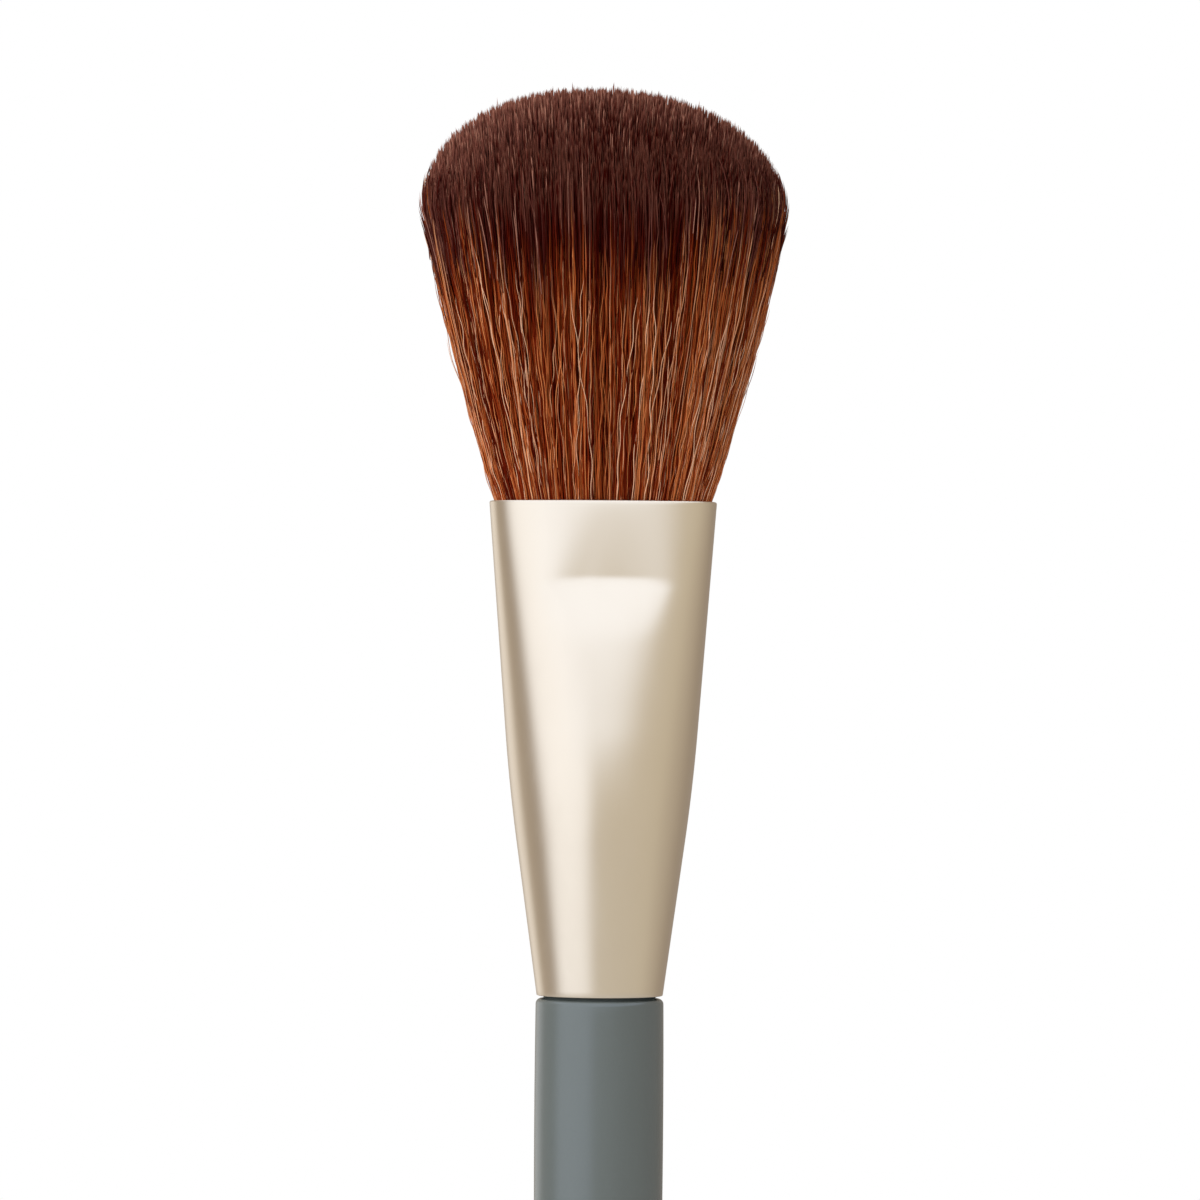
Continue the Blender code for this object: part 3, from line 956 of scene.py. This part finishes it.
@dataclass(frozen=True)
class Shades:
    """How pale strands are, from 0, deep, to 1, pale, by their place and by chance.

    Paleness by place is painted light: light on the right of the side strands, a rim light at
    their flanks, and light and highlights along the dome's crest and at its left. Each pair is
    a start and a slope: the crest's light of the tips and the side strands' bright share run
    towards the right, the others along the crest.
    """

    lock_waves: Waves = ((13, 0, 1.0), (29, 1, 1.0), (53, 2, 1.0), (97, 0, 0.7))
    side: float = 0.39
    side_locks: float = 0.07
    # Painted light on the right of the side strands, and a painted rim light at their flanks
    side_painted_right_light: float = 0.13
    side_painted_rim_light: float = 0.40
    painted_rim_light_power: int = 26
    side_swing: float = 0.20
    side_limit: float = 0.82
    side_bright: float = 0.88
    # Bright side strands: a random share, plus more on the right as painted highlights
    side_bright_and_painted_right_share: Pair = (0.065, 0.07)
    pale_least: float = 0.58
    pale_most: float = 0.93
    palest: float = 0.98
    palest_share: float = 0.38
    stray_least: float = 0.25
    stray_most: float = 0.98
    tip: float = 0.17
    # Painted light on the dome's tips: paler at its left and along its crest
    tip_painted_left_light: float = 0.60
    tip_painted_crest_light: Pair = (0.76, -0.30)
    painted_crest_light_power: float = 1.5
    tip_tuft: Pair = (0.04, 0.10)
    tip_cloud: float = 0.04
    tip_swing: Pair = (0.22, 0.08)
    tip_limit: float = 0.9
    tip_bright: float = 0.97
    # Bright tips: a few at random, more along the crest and at the left as painted highlights
    tip_bright_and_painted_crest_share: Pair = (0.01, 0.29)
    tip_painted_left_highlights: float = 0.11
    crest_end: float = 0.04

    def of_side(self, chance: Chance, root: Array, phases: Array) -> Array:
        """Side strands: locks differ; the right is paler as painted light, the flanks as a painted
        rim light.

        Args:
            chance: the source of chance.
            root: the strands' angles round the axis.
            phases: the phases of the locks' waves.

        Returns:
            The shades.
        """
        right, count = np.cos(root), len(root)
        shade = self.side + self.side_locks * ripples(root, phases, self.lock_waves)
        # Painted light: paler to the right, and a painted rim light at the flanks
        shade = shade + self.side_painted_right_light * right
        shade = shade + self.side_painted_rim_light * np.abs(right) ** self.painted_rim_light_power
        shade = shade + chance.normal(0.0, self.side_swing, count)
        bright = some(chance, line(self.side_bright_and_painted_right_share, np.maximum(right, 0.0)), count)
        return np.where(bright, self.side_bright, np.clip(shade, 0.0, self.side_limit))

    def of_pale(self, chance: Chance, count: int) -> Array:
        """Pale strands: a share has the palest shade, the others lie in a range."""
        palest = some(chance, self.palest_share, count)
        return np.where(palest, self.palest, chance.uniform(self.pale_least, self.pale_most, count))

    def of_stray(self, chance: Chance, count: int) -> Array:
        """Stray ends: any shade in a wide range."""
        return chance.uniform(self.stray_least, self.stray_most, count)

    def of_tip(
        self, chance: Chance, share: Array, angle: Array, tuft: Array, cloud: Array
    ) -> Array:
        """Tips of the dome: palest along its crest and paler at the left, both painted light.

        The crest is the line midway between front and back, the head's outline to the camera.

        Args:
            chance: the source of chance.
            share: the tips' shares of the head's size.
            angle: their angles round the axis.
            tuft: how far each stands out in its tuft.
            cloud: a slower unevenness.

        Returns:
            The shades.
        """
        count, right = len(share), share * np.cos(angle)
        half = np.sqrt(np.maximum(1 - right**2, self.crest_end))
        crest = 1 - np.clip(share * np.abs(np.sin(angle)) / half, 0.0, 1.0) ** 2
        leftward = np.maximum(-right, 0.0)
        # Painted light: paler at the left and along the crest
        shade = self.tip + self.tip_painted_left_light * leftward
        shade = shade + line(self.tip_painted_crest_light, right) * crest**self.painted_crest_light_power
        shade = shade + line(self.tip_tuft, crest) * tuft + self.tip_cloud * cloud
        shade = shade + line(self.tip_swing, crest) * chance.normal(0.0, 1.0, count)
        bright = line(self.tip_bright_and_painted_crest_share, crest**2) + self.tip_painted_left_highlights * leftward
        bright = some(chance, bright, count)
        return np.where(bright, self.tip_bright, np.clip(shade, 0.0, self.tip_limit))


@dataclass
class TuftForm:
    """The form of the tuft, from its root in the ferrule to its dome, and its packed core.

    Half sizes are half a width and half a depth.
    """

    mouth: float
    top: float
    root: float
    mouth_half_sizes: Pair = (0.01172, 0.00645)
    root_half_sizes: Pair = (0.0089, 0.0072)
    half_sizes: Pair = (0.0197, 0.0128)
    widest: float = 0.0315
    fan_power: float = 1.25
    dome_power: float = 2.14
    mouth_power: float = 2.45
    head_power: float = 2.12
    lean: float = -0.0011
    lean_start: float = 0.020
    core_share: float = 0.86
    core_rise: float = 0.82
    core_rows: tuple[int, int, int] = (14, 40, 30)
    core_steps: int = 160

    @property
    def rise(self) -> float:
        """Height of the dome above the widest place."""
        return self.top - self.mouth - self.widest

    def spread(self, above: Array) -> tuple[Array, Array, Array]:
        """Half width, half depth and plan power of the bundle at heights above the mouth.

        Above the mouth the sizes grow by 1 - (1 - height / widest)^fan_power of the way to
        the head's, and below it they run straight to the root's.

        Args:
            above: heights above the mouth, negative inside the ferrule.

        Returns:
            Half width, half depth and power.
        """
        share = 1 - np.clip(1 - above / self.widest, 0.0, 1.0) ** self.fan_power
        inside = np.clip(above / (self.root - self.mouth), 0.0, 1.0)
        sizes = zip(self.mouth_half_sizes, self.half_sizes, self.root_half_sizes)
        width, depth = (
            mouth + (head - mouth) * share + (root - mouth) * inside for mouth, head, root in sizes
        )
        return width, depth, self.mouth_power + (self.head_power - self.mouth_power) * share

    def dome(self, share: Array) -> Array:
        """Height above the mouth of the domed top at a share of the head's half width."""
        fall = np.clip(share, 0.0, 1.0) ** self.dome_power
        return self.widest + self.rise * (1 - fall) ** (1 / self.dome_power)

    def place(self, share: Array, angle: Array, above: Array) -> Array:
        """Points at a share of the bundle's size, an angle round it and a height.

        The bundle leans aside by the cube of the height above where its lean starts.

        Args:
            share: 0 on the axis to 1 on the outside.
            angle: angles round the axis.
            above: heights above the mouth.

        Returns:
            The points, in the frame's own place.
        """
        width, depth, power = self.spread(above)
        x, y = superellipse(angle, power)
        reach = self.top - self.mouth - self.lean_start
        aside = self.lean * np.clip((above - self.lean_start) / reach, 0.0, 1.0) ** 3
        return joined(share * width * x + aside, share * depth * y, self.mouth + above)

    def core(self, material: Material) -> Piece:
        """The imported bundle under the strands, down to its root inside the ferrule.

        Args:
            material: the packed fibre's finish.

        Returns:
            The piece.
        """
        inside_rows, side_rows, cap_rows = self.core_rows
        inside = np.linspace(self.root - self.mouth, 0.0, inside_rows)
        side = np.linspace(0.0, self.widest, side_rows)[1:]
        cap = np.linspace(0.0, math.pi / 2, cap_rows)[1:-1]
        rise = self.core_rise * self.rise
        share = np.concatenate((np.ones(len(inside) + len(side)), np.cos(cap)))[:, None]
        above = np.concatenate((inside, side, self.widest + rise * np.sin(cap)))[:, None]
        angles = np.arange(self.core_steps) * FULL_TURN / self.core_steps
        rows = self.place(self.core_share * share, angles, above)
        head = (0.0, 0.0, self.mouth + self.widest + rise)
        points, faces = capped_mesh(rows, head, (0.0, 0.0, self.root))
        return add_piece("tuft_core", points, faces, material)


@dataclass
class BristleHead(TuftForm):
    """The tuft: its core, full length side strands, pale crimped ones, strays and dome tips.

    Pairs are the least and the most of a range, and side_rows counts the levels below and
    above the strands' bend.
    """

    strand_radius: float = 0.000058
    taper_share: float = 0.09
    taper_power: float = 0.7
    point_share: float = 0.12
    side: Layer = Layer(4800, 5, 1.0, (0.00002, 0.00010), (0.0045, 0.0090))
    pale: Layer = Layer(310, 1, 0.78, (0.00004, 0.00013), (0.0040, 0.0066))
    stray: Layer = Layer(460, 1, 0.8)
    tip: Layer = Layer(18000, 4, 1.15)
    start_depth: float = 0.002
    sway_depth: float = 0.001
    sway_blend: float = 0.003
    wave_paces: tuple[float, ...] = (1.0, 0.37, 0.83, 0.31)
    slow_wave: float = 0.8
    lock_pull: float = 0.32
    lock_waves: int = 7
    lock_swing: Pair = (0.9, 1.1)
    wide_locks: Pair = (40.0, 110.0)
    narrow_locks: Pair = (120.0, 330.0)
    tuft_waves: int = 12
    tuft_sizes: Pair = (0.0004, 0.0020)
    cloud_sizes: Pair = (0.0012, 0.0080)
    unevenness: float = 0.0009
    girths: Pair = (0.75, 1.25)
    dye_height: float = 0.0252
    dye_swing: float = 0.0017
    side_inside: float = 0.84
    side_falls: Pair = (-0.35, 1.0)
    side_bend: float = 0.62
    side_rows: tuple[int, int] = (23, 9)
    angle_swing: float = 0.026
    share_swing: float = 0.008
    climb_share: float = 0.7
    early_height: float = 0.008
    lift: float = 0.012
    lift_drop: float = 1.4
    lift_waves: Waves = ((17, 0, 1.0), (29, 1, 1.0), (43, 2, 1.0))
    flank_rise: float = 0.0048
    flank_power: float = 1.5
    right_rise: float = 0.0016
    tongues: Waves = ((8, 1, 0.045), (19, 2, 0.025), (47, 0, 0.015))
    pale_depths: Pair = (0.972, 1.004)
    pale_lengths: Pair = (0.48, 0.88)
    pale_levels: int = 40
    pale_bias: float = 0.35
    pale_drift: float = 0.070
    pale_off: float = 0.016
    pale_off_start: float = 0.8
    pale_off_span: float = 0.2
    pale_dye_drop: float = 0.002
    pale_undyed: float = 0.1
    stray_length: float = 0.007
    stray_heights: Pair = (0.92, 1.17)
    stray_levels: int = 8
    stray_off: Pair = (0.006, 0.036)
    stray_depth: float = 0.012
    stray_bend: float = 0.020
    stray_spread: float = 0.6
    stray_undyed: float = 0.2
    stray_undyed_power: int = 12
    tip_rows: tuple[float, ...] = (0.0, 0.45, 0.75, 0.93, 1.0)
    tip_lengths: Pair = (0.0060, 0.0095)
    tip_lean: float = 9.0
    lean_swing: float = 0.024
    tuft_lean: float = 0.2
    tip_reach: float = 0.985
    tip_swing: float = 0.006
    tip_limit: float = 0.99
    fall_start: float = 0.15
    fall_span: float = 0.5
    fall_power: float = 1.2
    fall_least: float = 0.25
    face_fall: float = 3.4
    tuft_lift: float = 0.00011
    tuft_pull: float = 0.75
    proud_share: float = 0.012
    proud_heights: Pair = (0.0002, 0.0006)
    shades: Shades = Shades()
    seed: int = 7

    def __post_init__(self) -> None:
        """Start the one source of chance."""
        self.rng = np.random.default_rng(self.seed)

    def _heights(self, tip: Array, step: Array) -> Array:
        """Heights above the mouth of each strand's levels, from inside it up to the tip."""
        return -self.start_depth + (tip[:, None] + self.start_depth) * step

    def _swayed(self, paths: Array, above: Array, layer: Layer) -> Array:
        """Sway strands by the sum of two sines each way, with the second a slower one.

        Args:
            paths: the strands' paths.
            above: heights above the mouth, a row to a strand.
            layer: the kind of strand.

        Returns:
            The swayed paths.
        """
        reach = self.rng.uniform(*layer.sway, layer.count)
        length = self.rng.uniform(*layer.wave, layer.count)
        phases = self.rng.uniform(0.0, FULL_TURN, (4, layer.count, 1))
        turn = above * FULL_TURN / length[:, None]
        rise = np.clip((above + self.sway_depth) / self.sway_blend, 0.0, 1.0) * reach[:, None]
        waves = [np.sin(pace * turn + phase) for pace, phase in zip(self.wave_paces, phases)]
        x, y = (rise * (waves[i] + self.slow_wave * waves[i + 1]) for i in (0, 2))
        return paths + joined(x, y, 0.0)

    def _gather(self, angle: Array, low: float, high: float) -> Array:
        """Shift of angles towards locks of uneven width.

        The shift is minus the sum of pull / count * sin(count * angle + phase), for whole
        counts between the two given, so that strands crowd where the sines fall.

        Args:
            angle: angles round the axis.
            low: the fewest locks to a turn.
            high: the most locks to a turn.

        Returns:
            The shifts.
        """
        swing = self.rng.uniform(*self.lock_swing, self.lock_waves)
        counts = np.round(np.geomspace(low, high, self.lock_waves) * swing)
        phase = self.rng.uniform(0.0, FULL_TURN, self.lock_waves)
        return -(self.lock_pull / counts * np.sin(angle[:, None] * counts + phase)).sum(axis=1)

    def _field(self, flat: Array, low: float, high: float) -> tuple[Array, Array]:
        """Uneven tufts over the domed top, from waves that run in chance directions.

        Args:
            flat: (x, y) places.
            low: the shortest wave.
            high: the longest wave.

        Returns:
            Shifts towards the tufts' middles, and a number about -1 to 1 that peaks there.
        """
        length = np.geomspace(low, high, self.tuft_waves)
        heading, phase = self.rng.uniform(0.0, FULL_TURN, (2, self.tuft_waves))
        way = joined(np.cos(heading), np.sin(heading))
        turn = flat @ way.T * FULL_TURN / length + phase
        shift = -(self.lock_pull * length / FULL_TURN * np.sin(turn)) @ way
        return shift, np.cos(turn).sum(axis=1) / math.sqrt(self.tuft_waves / 2)

    def _side_strands(self) -> Bundle:
        """Full length strands of the outer layers, drawn together into uneven locks.

        Returns:
            The strands.
        """
        rng, count = self.rng, self.side.count
        share = np.sqrt(rng.uniform(self.side_inside**2, 1.0, count))
        root = rng.uniform(0.0, FULL_TURN, count)
        wide = self._gather(root, *self.wide_locks)[:, None]
        narrow = self._gather(root, *self.narrow_locks)[:, None]
        tip = self.dome(share) - self.unevenness * rng.uniform(*self.side_falls, count)
        lower, upper = self.side_rows
        step = np.linspace(self.side_bend, 1.0, upper)[1:]
        step = np.concatenate((np.linspace(0.0, self.side_bend, lower), step))
        above = self._heights(tip, step)
        climb = smooth(above / (self.climb_share * self.widest))
        early = smooth((above + self.start_depth) / self.early_height)
        angle = root[:, None] + wide * climb + narrow * early
        angle = angle + rng.normal(0.0, self.angle_swing, (count, 1)) * climb
        phases = rng.uniform(0.0, FULL_TURN, 3)
        lift = self.lift * (ripples(root, phases, self.lift_waves) - self.lift_drop)[:, None]
        lift = lift + rng.normal(0.0, self.share_swing, (count, 1))
        share = np.clip(share[:, None] + lift * climb, 0.0, 1.0)
        paths = self._swayed(self.place(share, angle, above), above, self.side)
        edge = self._side_edge(root, tip, phases)
        shade = self.shades.of_side(rng, root, phases)
        return self._bundle(paths, step, shade, edge, self.side)

    def _side_edge(self, root: Array, tip: Array, phases: Array) -> Array:
        """Where each side strand's dye begins: higher at the flanks, most at the right.

        Uneven tongues run along the edge on the front and the back.

        Args:
            root: the strands' angles round the axis.
            tip: the heights of their tips.
            phases: the phases of the tongues.

        Returns:
            Shares of the way along each strand.
        """
        flank = self.flank_rise * np.abs(np.cos(root)) ** self.flank_power
        flank = flank + self.right_rise * np.cos(root)
        height = self.dye_height + flank + self.rng.normal(0.0, self.dye_swing, len(root))
        return height / tip + np.abs(np.sin(root)) * ripples(root, phases, self.tongues)

    def _pale_strands(self) -> Bundle:
        """Pale crimped strands that lie on the outside from the mouth past the dye's edge.

        Returns:
            The strands.
        """
        rng, count = self.rng, self.pale.count
        share = rng.uniform(*self.pale_depths, count)
        angle = rng.uniform(0.0, FULL_TURN, count)
        angle = angle - self.pale_bias * np.sin(angle)
        tip = rng.uniform(*self.pale_lengths, count) * self.widest
        step = np.linspace(0.0, 1.0, self.pale_levels)
        above = self._heights(tip, step)
        drift = rng.normal(0.0, self.pale_drift, (count, 1)) * smooth(above / self.widest)
        late = smooth((step - self.pale_off_start) / self.pale_off_span)
        off = rng.uniform(0.0, self.pale_off, (count, 1)) * late
        paths = self.place(share[:, None] + off, angle[:, None] + drift, above)
        paths = self._swayed(paths, above, self.pale)
        shade = self.shades.of_pale(rng, count)
        undyed = some(rng, self.pale_undyed, count)
        drop = rng.normal(-self.pale_dye_drop, self.dye_swing, count)
        edge = (self.dye_height + drop) / tip
        return self._bundle(paths, step, shade, np.where(undyed, UNDYED, edge), self.pale)

    def _strays(self) -> Bundle:
        """Short ends that stand a little off the outside under the rounded edge of the top.

        Returns:
            The strands.
        """
        rng, count = self.rng, self.stray.count
        angle = rng.integers(0, 2, count) * math.pi + rng.normal(0.0, self.stray_spread, count)
        tip = rng.uniform(*self.stray_heights, count) * self.widest
        step = np.linspace(0.0, 1.0, self.stray_levels)
        above = (tip - self.stray_length)[:, None] + self.stray_length * step
        off = rng.uniform(*self.stray_off, (count, 1)) * step**2 - self.stray_depth
        share = np.sqrt(1.0 - np.clip((above - self.widest) / self.rise, 0.0, 1.0) ** 2)
        bend = rng.normal(0.0, self.stray_bend, (count, 1)) * step**2
        paths = self.place(share + off, angle[:, None] + bend, above)
        shade = self.shades.of_stray(rng, count)
        flank = np.abs(np.cos(angle)) ** self.stray_undyed_power
        undyed = some(rng, self.stray_undyed * flank, count)
        return self._bundle(paths, step, shade, np.where(undyed, UNDYED, ALL_DYED), self.stray)

    def _dome_tips(self) -> Bundle:
        """The ends of the inner strands, which make the domed top.

        A spiral spreads them evenly, uneven tufts draw neighbours together and lift them,
        and each leans outwards by the fan that it has at its place.

        Returns:
            The strands.
        """
        rng, count = self.rng, self.tip.count
        order = rng.permutation(count)
        angle = order * GOLDEN_ANGLE
        share = self.tip_reach * np.sqrt((order + 0.5) / count)
        share = np.clip(share + rng.normal(0.0, self.tip_swing, count), 0.0, self.tip_limit)
        level = self.dome(share)
        ends = self.place(share, angle, level)
        shift, tuft = self._field(ends[:, :2], *self.tuft_sizes)
        outer = smooth((share - self.fall_start) / self.fall_span)
        fall = 1 + self.face_fall * outer * np.abs(np.sin(angle))
        fall = fall * rng.uniform(0.0, 1.0, count) ** self.fall_power - self.fall_least
        fall = self.unevenness * fall
        proud = some(rng, self.proud_share, count) * rng.uniform(*self.proud_heights, count)
        tip = level + self.tuft_lift * tuft - fall + proud
        ends[:, :2] += self.tuft_pull * shift
        ends[:, 2] = self.mouth + tip
        length = rng.uniform(*self.tip_lengths, count)[:, None]
        step = np.array(self.tip_rows)
        above = tip[:, None] - length + length * step
        outward = ends[:, :2] / np.linalg.norm(ends[:, :2], axis=1, keepdims=True)
        lean = math.tan(math.radians(self.tip_lean)) * share[:, None] * outward
        lean = lean + rng.normal(0.0, self.lean_swing, (count, 2))
        lean = lean - self.tuft_lean * shift / length
        back = (tip[:, None] - above)[..., None]
        paths = ends[:, None, :] - np.concatenate((lean[:, None, :] * back, back), axis=-1)
        _, cloud = self._field(ends[:, :2], *self.cloud_sizes)
        shade = self.shades.of_tip(rng, share, angle, tuft, cloud)
        return self._bundle(paths, step, shade, np.full(count, ALL_DYED), self.tip)

    def _bundle(
        self, paths: Array, step: Array, shade: Array, edge: Array, layer: Layer
    ) -> Bundle:
        """Give strands their thickness, thinned to a point, and their stepped numbers.

        Args:
            paths: the strands' paths.
            step: how far along them each level is.
            shade: their shades.
            edge: where along them the dye begins.
            layer: the kind of strand.

        Returns:
            The strands.
        """
        taper = np.clip((1.0 - step) / self.taper_share, self.point_share, 1.0)
        girth = layer.girth * self.strand_radius
        girth = girth * self.rng.uniform(*self.girths, (len(paths), 1))
        classed = EDGE_LOW + EDGE_SPAN * stepped((edge - EDGE_LOW) / EDGE_SPAN, EDGE_STEPS)
        edge = np.where(edge < 0.0, ALL_DYED, classed)
        radii = girth * taper**self.taper_power
        return Bundle(paths, radii, step, stepped(shade, SHADE_STEPS), edge)

    def build(self, fibre: Material, packed: Material) -> list[Piece]:
        """Every piece of the tuft.

        Args:
            fibre: the strands' finish.
            packed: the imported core's finish.

        Returns:
            The pieces, the core first.
        """
        pieces = [self.core(packed)]
        layers = {
            "side_strands": (self._side_strands(), self.side.parts),
            "pale_strands": (self._pale_strands(), self.pale.parts),
            "stray_ends": (self._strays(), self.stray.parts),
            "dome_tips": (self._dome_tips(), self.tip.parts),
        }
        for name, (bundle, parts) in layers.items():
            for number in range(parts):
                part = bundle.part(number, parts)
                turn = self.rng.uniform(0.0, FULL_TURN, len(part.shade))
                pieces.append(part.build(f"{name}_{number + 1}", turn, fibre))
        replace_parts(pieces[0], "bristle_tuft")
        return pieces


@dataclass(frozen=True)
class HiddenSetting:
    """What holds the brush together inside the ferrule, on the frame's own nodes."""

    glue_nodes: tuple[str, ...] = ("tenon_glue", "root_glue")
    thread_node: str = "binding_thread"

    def dress(self, glue: Material, thread: Material) -> None:
        """Give the nodes their finishes.

        Args:
            glue: the glue's finish.
            thread: the thread's finish.
        """
        finishes = {name: glue for name in self.glue_nodes} | {self.thread_node: thread}
        for name, material in finishes.items():
            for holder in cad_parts[name].material_slots:
                holder.material = material
            log.info("%s: dressed", name)


@dataclass(frozen=True)
class Panel:
    """A round light of the room: its azimuth and elevation, its soft edge and its tone.

    The edge ends and begins at two angles from the middle. Angles are in degrees.
    """

    place: Pair
    edge: Pair
    tone: Colour


@dataclass(frozen=True)
class Studio:
    """The camera at the photograph's angle, a pale floor and plain soft light.

    The camera stands a little below the ferrule's mouth and looks up by under a degree,
    turned by less than half a degree, and the pale floor is out of its view. The room's
    stops run from its front right to its back left.
    """

    view_width: float = 0.1296
    distance: float = 0.648
    camera_height: float = 0.130
    view_height: float = 0.1400
    side_step: float = -0.00027
    roll: float = 0.42
    sensor: float = 36.0
    key_place: Pair = (-44.0, 30.0)
    key_distance: float = 0.8
    key_diameter: float = 1.4
    key_radiance: float = 1.45
    aim_height: float = 0.12
    ambient: float = 0.45
    left: Panel = Panel((-47.0, 0.0), (45.0, 22.5), (1.36, 1.44, 1.61))
    overhead: Panel = Panel((-5.0, 65.0), (67.5, 56.0), (1.38, 1.50, 1.75))
    back_left: Pair = (0.77, 0.64)
    room: Stops = (
        (0.0, (0.74, 0.697, 0.61)),
        (0.12, (0.725, 0.682, 0.585)),
        (0.20, (0.63, 0.58, 0.50)),
        (0.55, (0.40, 0.345, 0.29)),
        (0.80, (0.385, 0.33, 0.281)),
        (0.966, (0.50, 0.44, 0.37)),
        (0.992, (1.07, 1.04, 1.01)),
    )
    floor_radii: Pair = (0.34, 0.02)
    floor_height: float = -0.00002
    floor_rows: int = 12
    floor_steps: int = 96

    def add_camera(self) -> None:
        """Place the camera and make it the scene's."""
        camera = bpy.data.cameras.new("studio_camera")
        camera.sensor_width = self.sensor
        camera.lens = self.sensor * self.distance / self.view_width
        holder = linked("studio_camera", camera)
        place = Vector((self.side_step, -self.distance, self.camera_height))
        aim = Vector((self.side_step, 0.0, self.view_height))
        turned = (aim - place).to_track_quat("-Z", "Y").to_matrix().to_4x4()
        roll = Matrix.Rotation(math.radians(self.roll), 4, "Z")
        holder.matrix_world = Matrix.Translation(place) @ turned @ roll
        bpy.context.scene.camera = holder

    def _away(self, place: Pair) -> Vector:
        """The unit vector at degrees right of the camera's side and above the level."""
        turn, rise = map(math.radians, place)
        level = math.cos(rise)
        return Vector((math.sin(turn) * level, -math.cos(turn) * level, math.sin(rise)))

    def add_key(self) -> None:
        """A large round soft light in front, to the left and above."""
        away = self._away(self.key_place)
        lamp = bpy.data.lights.new("key_light", "AREA")
        lamp.shape = "DISK"
        lamp.size = self.key_diameter
        lamp.energy = self.key_radiance * math.pi * math.pi * self.key_diameter**2 / 4
        holder = linked("key_light", lamp)
        holder.location = Vector((0.0, 0.0, self.aim_height)) + away * self.key_distance
        holder.rotation_mode = "QUATERNION"
        holder.rotation_quaternion = (-away).to_track_quat("-Z", "Y")
        holder.visible_camera = False
        holder.visible_glossy = False

    def _room(self, recipe: Recipe) -> Socket:
        """The room's tones by direction, with its two light panels.

        Args:
            recipe: the world's recipe.

        Returns:
            The colour.
        """
        direction = recipe.node("TexCoord").out("Generated")
        parts = recipe.node("SeparateXYZ", {0: direction})
        back, left = self.back_left
        glow = parts.out("Y") * back - parts.out("X") * left
        room = recipe.node("ValToRGB", {"Fac": glow * 0.5 + 0.5}, self.room)
        for panel in (self.left, self.overhead):
            inputs = {0: direction, 1: self._away(panel.place)}
            near = recipe.node("VectorMath", inputs, operation="DOT_PRODUCT").out("Value")
            edge = (math.cos(math.radians(angle)) for angle in panel.edge)
            room = recipe.mix(recipe.smooth_step(near, *edge), room, panel.tone)
        return room

    def add_world(self) -> None:
        """White to the camera, the room's tones in reflections, an even fill elsewhere."""
        world = bpy.data.worlds.new("studio_room")
        bpy.context.scene.world = world
        recipe = Recipe(world)
        rays = recipe.node("LightPath")
        kinds = "Camera", "Transmission", "Glossy"
        seen, through, glossy = (rays.out(f"Is {kind} Ray") for kind in kinds)
        plain = recipe.maths("MAXIMUM", seen, through)
        tone = recipe.mix(plain, self._room(recipe), WHITE)
        shown = recipe.node("Background", {"Color": tone, "Strength": 1.0})
        fill = recipe.node("Background", {"Color": WHITE, "Strength": self.ambient})
        direct = recipe.maths("MAXIMUM", plain, glossy)
        mixed = recipe.node("MixShader", {0: direct, 1: fill, 2: shown})
        recipe.node("OutputWorld", {"Surface": mixed})

    def add_floor(self) -> None:
        """A pale round floor under the brush, which fades out towards its edge."""
        radii = np.linspace(*self.floor_radii, self.floor_rows)
        rows = turned_rows(joined(radii, self.floor_height), self.floor_steps)
        points, faces = capped_mesh(rows, (0.0, 0.0, self.floor_height))
        mesh = bpy.data.meshes.new("studio_floor")
        mesh.from_pydata(points.tolist(), [], faces)
        mesh.materials.append(StudioPaper().material())
        floor = linked("studio_floor", mesh)

    def build(self) -> None:
        """The whole studio, with colours shown as they are."""
        self.add_camera()
        self.add_key()
        self.add_world()
        self.add_floor()
        bpy.context.scene.view_settings.view_transform = "Standard"
        log.info("studio: camera, key light, world and floor")


def main() -> None:
    """Build the studio and the brush."""
    logging.basicConfig(level=logging.INFO, format="%(name)s: %(message)s")
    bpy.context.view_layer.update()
    ferrule_low, ferrule_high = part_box("ferrule")
    handle_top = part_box("handle")[1].z
    tuft_low, tuft_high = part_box("bristle_tuft")
    Studio().build()
    ferrule = Ferrule(base=ferrule_low.z, length=ferrule_high.z - ferrule_low.z)
    ferrule.build(SatinMetal().material())
    handle = Handle(length=ferrule_low.z - SEAM_GAP, tenon_top=handle_top)
    handle.build(SatinLacquer().material())
    head = BristleHead(mouth=ferrule_high.z, top=tuft_high.z, root=tuft_low.z)
    head.build(DyedFibre().material(), PackedFibre().material())
    HiddenSetting().dress(CuredGlue().material(), WaxedThread().material())


if __name__ == "__main__":
    main()
